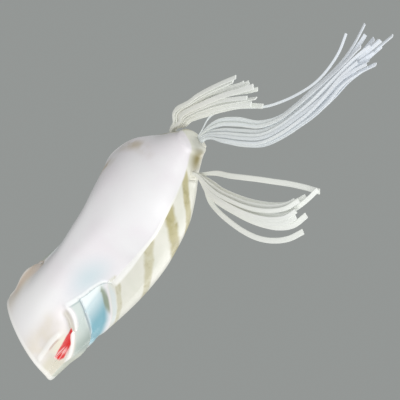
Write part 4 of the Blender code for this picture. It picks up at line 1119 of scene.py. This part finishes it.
def smooth_route(points, count):
    """Evenly spaced points on a smooth curve through the given points."""
    points = np.asarray(points, float)
    spans = np.diff(points, axis=0)
    lengths = np.linalg.norm(spans, axis=1)
    headings = spans / lengths[:, None]
    tangents = np.concatenate([headings[:1], headings[:-1] + headings[1:], headings[-1:]])
    tangents /= np.linalg.norm(tangents, axis=1, keepdims=True)
    dense = []
    for i in range(len(spans)):
        t = np.linspace(0, 1, 16, endpoint=False)[:, None]
        near, far = tangents[i] * lengths[i], tangents[i + 1] * lengths[i]
        dense.append(points[i] * (1 + 2 * t) * (1 - t) ** 2 + near * t * (1 - t) ** 2
                     + points[i + 1] * t * t * (3 - 2 * t) + far * t * t * (t - 1))
    dense = np.concatenate(dense + [points[-1:]])
    run = np.concatenate([[0.0], np.cumsum(np.linalg.norm(np.diff(dense, axis=0), axis=1))])
    goals = np.linspace(0, run[-1], count)
    return np.stack([np.interp(goals, run, dense[:, axis]) for axis in range(3)], axis=1)


def skirt_routes(carrier, side, lanes, strip_rows, rises, columns, spacing, outset, seed):
    """Centre lines of the strips of one skirt."""
    pivot, axis, root_bead = SKIRTS[carrier]
    rng = np.random.default_rng(seed)
    lateral = np.array([-axis[1], axis[0], 0.0])
    layers = math.ceil(len(strip_rows) / columns)
    routes = []
    for n, (first, second, near, tip, keep) in enumerate(strip_rows):
        row, column = n % layers, n // layers
        across = (column - (columns - 1) / 2) * spacing - side * outset
        layer = (row - (layers - 1) / 2) * LAYER_SPACING
        up = np.array([0, 0, root_bead[2] + layer * GATHER])
        root = pivot + axis * (root_bead[3] - ROOT_INSET) + lateral * across + up
        first, second = np.array(lanes[first]), np.array(lanes[second])
        reach = np.arange(1, len(first) + 1) / len(first)
        share = near + (tip - near) * ease(reach - 0.5, 0.5)
        plan = first + (second - first) * share[:, None]
        height = rises[0] * ease(reach, 0.5) + rises[1] * ease(reach - 0.4, 0.6)
        wave = WAVE_HEIGHT * np.sin(reach * WAVE_TURNS + rng.uniform(0, 2 * np.pi)) * reach
        lifted = rises[2] * (1 - ease(reach, 0.3))
        level = pivot[2] + lifted + layer * (GATHER + reach) + height + wave
        there = np.stack([pivot[0] - plan[:, 0], pivot[1] + side * plan[:, 1], level], axis=1)
        route = smooth_route(np.concatenate([[root, root + axis * ROOT_RUN], there]), FINE_POINTS)
        routes.append(smooth_route(route[:int(len(route) * keep)], ROUTE_POINTS))
    return routes


def add_skirt(name, carrier, strip_rows, routes, width, thickness, lone, lean, twist, seed, finish):
    """Strips of one skirt as a single mesh that stands for its CAD strands."""
    values = {"Width": width * MM, "Thickness": thickness * MM, "Step": STRIP_STEP, "Lean": lean,
              "Twist": twist, "Seed": seed, "Finish": finish.material}
    rng = np.random.default_rng(seed)
    gathered = ROOT_SLIMNESS + (1 - ROOT_SLIMNESS) * ease(np.linspace(0, 1, ROUTE_POINTS), SLIM_SHARE)
    radii = []
    for row in strip_rows:
        slimmer = rng.uniform(SLIMMEST, WIDEST)
        radii.append(gathered * (lone if row[0].startswith("lone") else slimmer))
    mesh = swept_mesh(name, routes, strips, strip_ids, values, radii)
    skirt = add_object(name, mesh)
    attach(skirt, carrier)
    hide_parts(*[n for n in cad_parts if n.startswith(carrier + "_strand")])
    print(name, len(routes), "strips,", len(mesh.polygons), "faces")


LEG_RISES, TAIL_RISES = (-1.5, -0.9, 0.9), (1.8, -1.6, 0.0)
LEG_LANES = ((1, "left_leg", LEFT_LANES, LEFT_STRIPS, -0.35, 0.6, 11),
             (-1, "right_leg", RIGHT_LANES, RIGHT_STRIPS, 0.4, 0.25, 12))
for side, carrier, lanes, strip_rows, lean, twist, seed in LEG_LANES:
    routes = skirt_routes(carrier, side, lanes, strip_rows, LEG_RISES, LEG_COLUMNS, LEG_SPACING, LEG_OUTSET,
                          seed)
    add_skirt(carrier + "_strips", carrier, strip_rows, routes, LEG_WIDTH, LEG_THICKNESS, LONE_LEG, lean,
              twist, seed, leg_silicone)
routes = skirt_routes("tail", -1, TAIL_LANES, TAIL_STRIPS, TAIL_RISES, TAIL_COLUMNS, TAIL_SPACING, 0.0,
                      TAIL_SEED)
add_skirt("tail_strips", "tail", TAIL_STRIPS, routes, TAIL_WIDTH, TAIL_THICKNESS, LONE_TAIL, TAIL_LEAN,
          TAIL_TWIST, TAIL_SEED, tail_silicone)

# %% [markdown]
# ## Root beads
# The strips of a skirt are moulded into a bead that turns in a round seat of the body. A cylinder with a
# bevel would do for a free bead, but this one is cut flat where the strips leave, so its rings are drawn
# with that flat.

# %% Root beads
BEAD_EDGE = 0.35


def bead_mesh(name, pivot, axis, root):
    """Upright drum with rounded edges and a flat face towards the strips."""
    radius, height, lift, face = root
    lateral = np.array([-axis[1], axis[0], 0.0])
    angles = 2 * np.pi * np.arange(72) / 72
    turn = np.radians(np.arange(0, 91, 15))
    insets = BEAD_EDGE * (1 - np.sin(turn))
    levels = -height / 2 + BEAD_EDGE * (1 - np.cos(turn))
    rings = []
    for inset, level in list(zip(insets, levels)) + list(zip(insets[::-1], -levels[::-1])):
        ahead = np.minimum((radius - inset) * np.cos(angles), face - inset)
        ring = pivot + np.outer(ahead, axis) + np.outer((radius - inset) * np.sin(angles), lateral)
        rings.append(ring + np.array([0, 0, lift + level]))
    return mesh_from_rings(name, rings)


root_rubber = Paint("root_rubber", roughness=0.4, Coat_Weight=0.15)
at = root_rubber.place()
patch, fine = root_rubber.noise(at, 420, 3), root_rubber.noise(at, 2600, 2)
root_rubber.colour(root_rubber.mix(root_rubber.step(patch, 0.3, 0.7), (0.80, 0.79, 0.70), (0.70, 0.69, 0.60)))
root_rubber.roughness(fine, 0.2, 0.32)
root_rubber.bump(fine, 0.15, 0.0001)
for carrier, (pivot, axis, root) in SKIRTS.items():
    bead = add_object(carrier + "_root", bead_mesh(carrier + "_root", pivot, axis, root), root_rubber)
    bead.data.shade_smooth()
    bead.data.set_sharp_from_angle(angle=math.radians(40))
    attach(bead, carrier)
    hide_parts(carrier + "_bead")
print("beads:", len(SKIRTS))

# %% [markdown]
# ## Hook wire
# The double hook is bent from one plated wire, so one long guide curve runs from point to point through the
# eye. A second node tree sweeps a circle along it and scales the circle by the curve's radius, which
# sharpens the points. The barbs are short tapered curves of their own in the same guide.

# %% Hook
BARB_SETBACK, BARB_ROOT, BARB_LENGTH, BARB_HEIGHT = 3.4, 0.6, 1.6, 1.2
BARB_THICKEST, BARB_THINNEST = 0.62, 0.06
WIRE_STEP, WIRE_SIDES = 0.35 * MM, 20
TIP_SHARE = 0.12


def wire_tree():
    tree, start, end, ids = new_tree("wire_sweep", [
        ("Diameter", "NodeSocketFloat"), ("Step", "NodeSocketFloat"), ("Sides", "NodeSocketInt"),
        ("Finish", "NodeSocketMaterial")])
    given = start.outputs
    fine = add_node(tree, "GeometryNodeResampleCurve", [
        ("Curve", given["Geometry"]), ("Length", given["Step"])], mode="LENGTH")
    ring = add_node(tree, "GeometryNodeCurvePrimitiveCircle", [
        ("Resolution", given["Sides"]), ("Radius", figure(tree, "MULTIPLY", given["Diameter"], 0.5))],
        mode="RADIUS")
    finish_sweep(tree, given, end, fine.outputs[0], ring.outputs[0])
    return tree, ids


steel = Paint("plated_steel", roughness=0.25, Metallic=1.0)
at = steel.place()
drawn = steel.noise(steel.stretch(at, (120, 1500, 1500)), 1.0, 3)
worn = steel.noise(at, 260, 4)
steel.colour(steel.mix(steel.step(worn, 0.45, 0.75), (0.40, 0.41, 0.43), (0.24, 0.24, 0.25)))
steel.roughness(drawn, 0.22, 0.14)
steel.bump(drawn, 0.08, 0.0001)
wire = np.concatenate([(hook_left * MIRROR)[:0:-1], hook_left])
tip = hook_left[-1]
from_tip = np.minimum(np.linalg.norm(wire - tip, axis=1), np.linalg.norm(wire - tip * MIRROR, axis=1))
thick = np.clip(from_tip / POINT_TAPER, TIP_SHARE, 1.0)
barb_routes, barb_sizes = [], []
for side in (1, -1):
    root = tip * np.array([1, side, 1]) + np.array([-BARB_SETBACK + BARB_ROOT, 0, 0])
    barb_routes.append(root + np.outer(np.linspace(0, 1, 6), (-BARB_LENGTH - BARB_ROOT, 0, BARB_HEIGHT)))
    barb_sizes.append(np.linspace(BARB_THICKEST, BARB_THINNEST, 6))
wires, wire_ids = wire_tree()
values = {"Diameter": WIRE * MM, "Step": WIRE_STEP, "Sides": WIRE_SIDES, "Finish": steel.material}
mesh = swept_mesh("hook_wire", [wire] + barb_routes, wires, wire_ids, values, [thick] + barb_sizes)
hook = add_object("hook_wire", mesh)
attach(hook, "hook")
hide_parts("double_hook")
print("hook:", len(mesh.polygons), "faces")

# %% [markdown]
# ## Nose and eyes
# A sleeve holds the two shanks together, and a flanged grommet carries the sleeve through the floor of the
# cup. The eyes are domed discs pressed into the head. All of them are turned shapes, so each is a short
# profile spun about its axis; the eyes also store how far from their middle and at what angle every point
# lies.

# %% Nose and eyes
SLEEVE_BORE, SLEEVE_RADIUS = 1.75, 2.15
GROMMET_BORE, GROMMET_RADIUS, FLANGE_RADIUS = 2.55, 3.25, 4.15
FLANGE_FRONT, NOSE_REAR, FLANGE_THICKNESS = 35.1, 31.5, 0.8
TURNED_EDGE = 0.12
EYE_DOME = 0.8


def rounded_loop(corners, edge):
    """Closed outline with a small arc at every corner."""
    corners = np.array(corners, float)
    points = []
    for i, corner in enumerate(corners):
        into, out = corners[i - 1] - corner, corners[(i + 1) % len(corners)] - corner
        start = corner + into / np.linalg.norm(into) * edge
        end = corner + out / np.linalg.norm(out) * edge
        for t in (0.0, 0.33, 0.67, 1.0):
            points.append(start * (1 - t) ** 2 + corner * 2 * t * (1 - t) + end * t * t)
    return points


def turned_tube(name, corners, origin, sides=64):
    """Tube about the nose's axis from a closed outline of (along, radius) corners."""
    rings = lathe_rings(rounded_loop(corners, TURNED_EDGE), (1, 0, 0), origin, sides)
    mesh = mesh_from_rings(name, rings, tube=True)
    mesh.shade_smooth()
    mesh.set_sharp_from_angle(angle=math.radians(50))
    return mesh


rubber = Paint("grommet_rubber", roughness=0.5)
at = rubber.place()
patch, fine = rubber.noise(at, 300, 3), rubber.noise(at, 3000, 2)
rubber.colour(rubber.mix(rubber.step(patch, 0.35, 0.7), (0.78, 0.77, 0.72), (0.66, 0.65, 0.59)))
rubber.roughness(fine, 0.2, 0.42)
rubber.bump(fine, 0.2, 0.0001)
tubing = Paint("sleeve_plastic", roughness=0.35)
at = tubing.place()
drawn = tubing.noise(tubing.stretch(at, (80, 1800, 1800)), 1.0, 2)
tubing.colour(tubing.mix(tubing.step(drawn, 0.35, 0.7), (0.76, 0.77, 0.76), (0.62, 0.64, 0.65)))
tubing.roughness(drawn, 0.2, 0.26)
tubing.bump(drawn, 0.1, 0.0001)

front, rear = NOSE_FRONT + FIT, NOSE_REAR - FIT
grommet_outline = [(FLANGE_FRONT, GROMMET_BORE), (FLANGE_FRONT, FLANGE_RADIUS), (front, FLANGE_RADIUS),
                   (front, GROMMET_RADIUS), (rear, GROMMET_RADIUS), (rear, FLANGE_RADIUS),
                   (rear - FLANGE_THICKNESS, FLANGE_RADIUS), (rear - FLANGE_THICKNESS, GROMMET_BORE)]
grommet = add_object("nose_ring", turned_tube("nose_ring", grommet_outline, nose), rubber)
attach(grommet, "hull")
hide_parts("nose_grommet")
sleeve_outline = [(SLEEVE_FRONT, SLEEVE_BORE), (SLEEVE_FRONT, SLEEVE_RADIUS), (SLEEVE_REAR, SLEEVE_RADIUS),
                  (SLEEVE_REAR, SLEEVE_BORE)]
sleeve = add_object("shank_tube", turned_tube("shank_tube", sleeve_outline, nose), tubing)
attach(sleeve, "hook")
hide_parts("shank_sleeve")

iris = Paint("eye_paint", roughness=0.12, Coat_Weight=1.0, Coat_Roughness=0.03)
out, angle = iris.measure("eye_out"), iris.measure("eye_angle")
rays = iris.noise(iris.join(iris.math("MULTIPLY", angle, 9.0), iris.math("MULTIPLY", out, 2.0), 0.0), 1.0, 2)
gold = iris.mix(iris.step(rays, 0.35, 0.7), (0.82, 0.58, 0.10), (0.50, 0.30, 0.05))
gold = iris.mix(iris.step(out, 0.72, 0.95), gold, (0.16, 0.10, 0.03))
iris.colour(iris.mix(iris.step(out, 0.44, 0.40), gold, (0.006, 0.006, 0.007)))
iris.roughness(rays, 0.12, 0.06)
iris.bump(rays, 0.05, 0.0001)
for side, name in ((1, "left"), (-1, "right")):
    at, axis = eye_frame(side)
    disc = [(-EYE_SEAT, EYE_RADIUS * share) for share in (0.5, 0.94)]
    disc += [(-EYE_SEAT + 0.05, EYE_RADIUS * 0.98), (-EYE_SEAT + 0.16, EYE_RADIUS), (0.06, EYE_RADIUS)]
    for turn_angle in np.radians(np.arange(0, 89, 6)):
        disc.append((0.1 + EYE_DOME * np.sin(turn_angle) * 0.98, EYE_RADIUS * np.cos(turn_angle)))
    dome = mesh_from_rings(name + "_eye_disc", lathe_rings(disc, axis, at, 56))
    eye = add_object(name + "_eye_disc", dome, iris)
    points = np.array([v.co[:] for v in eye.data.vertices]) / MM - at
    points = points @ np.array(axis.to_track_quat("Z", "Y").to_matrix())
    note(eye.data, {"eye_out": np.hypot(points[:, 0], points[:, 1]) / EYE_RADIUS,
                    "eye_angle": np.abs(np.arctan2(points[:, 1], points[:, 0]))})
    eye.data.shade_smooth()
    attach(eye, "hull")
    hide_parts(name + "_eye")
print("nose and eyes ready")

# %% [markdown]
# ## Keel weight
# The weight lies on the floor of the air chamber and is never seen in a picture of the whole lure, so the
# solid itself stays and only gets the grey of cast metal, with dull oxide in patches.

# %% Keel weight
lead = Paint("cast_weight", roughness=0.55, Metallic=0.8)
at = lead.place()
patch, fine = lead.noise(at, 180, 4), lead.noise(at, 1600, 2)
lead.colour(lead.mix(lead.step(patch, 0.35, 0.65), (0.27, 0.27, 0.29), (0.42, 0.41, 0.40)))
lead.roughness(patch, 0.3, 0.4)
lead.bump(fine, 0.25, 0.0003)
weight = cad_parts["ballast_weight"]
weight.data.materials.clear()
weight.data.materials.append(lead.material)
print("weight is", [round(v / MM, 1) for v in weight.dimensions], "mm")
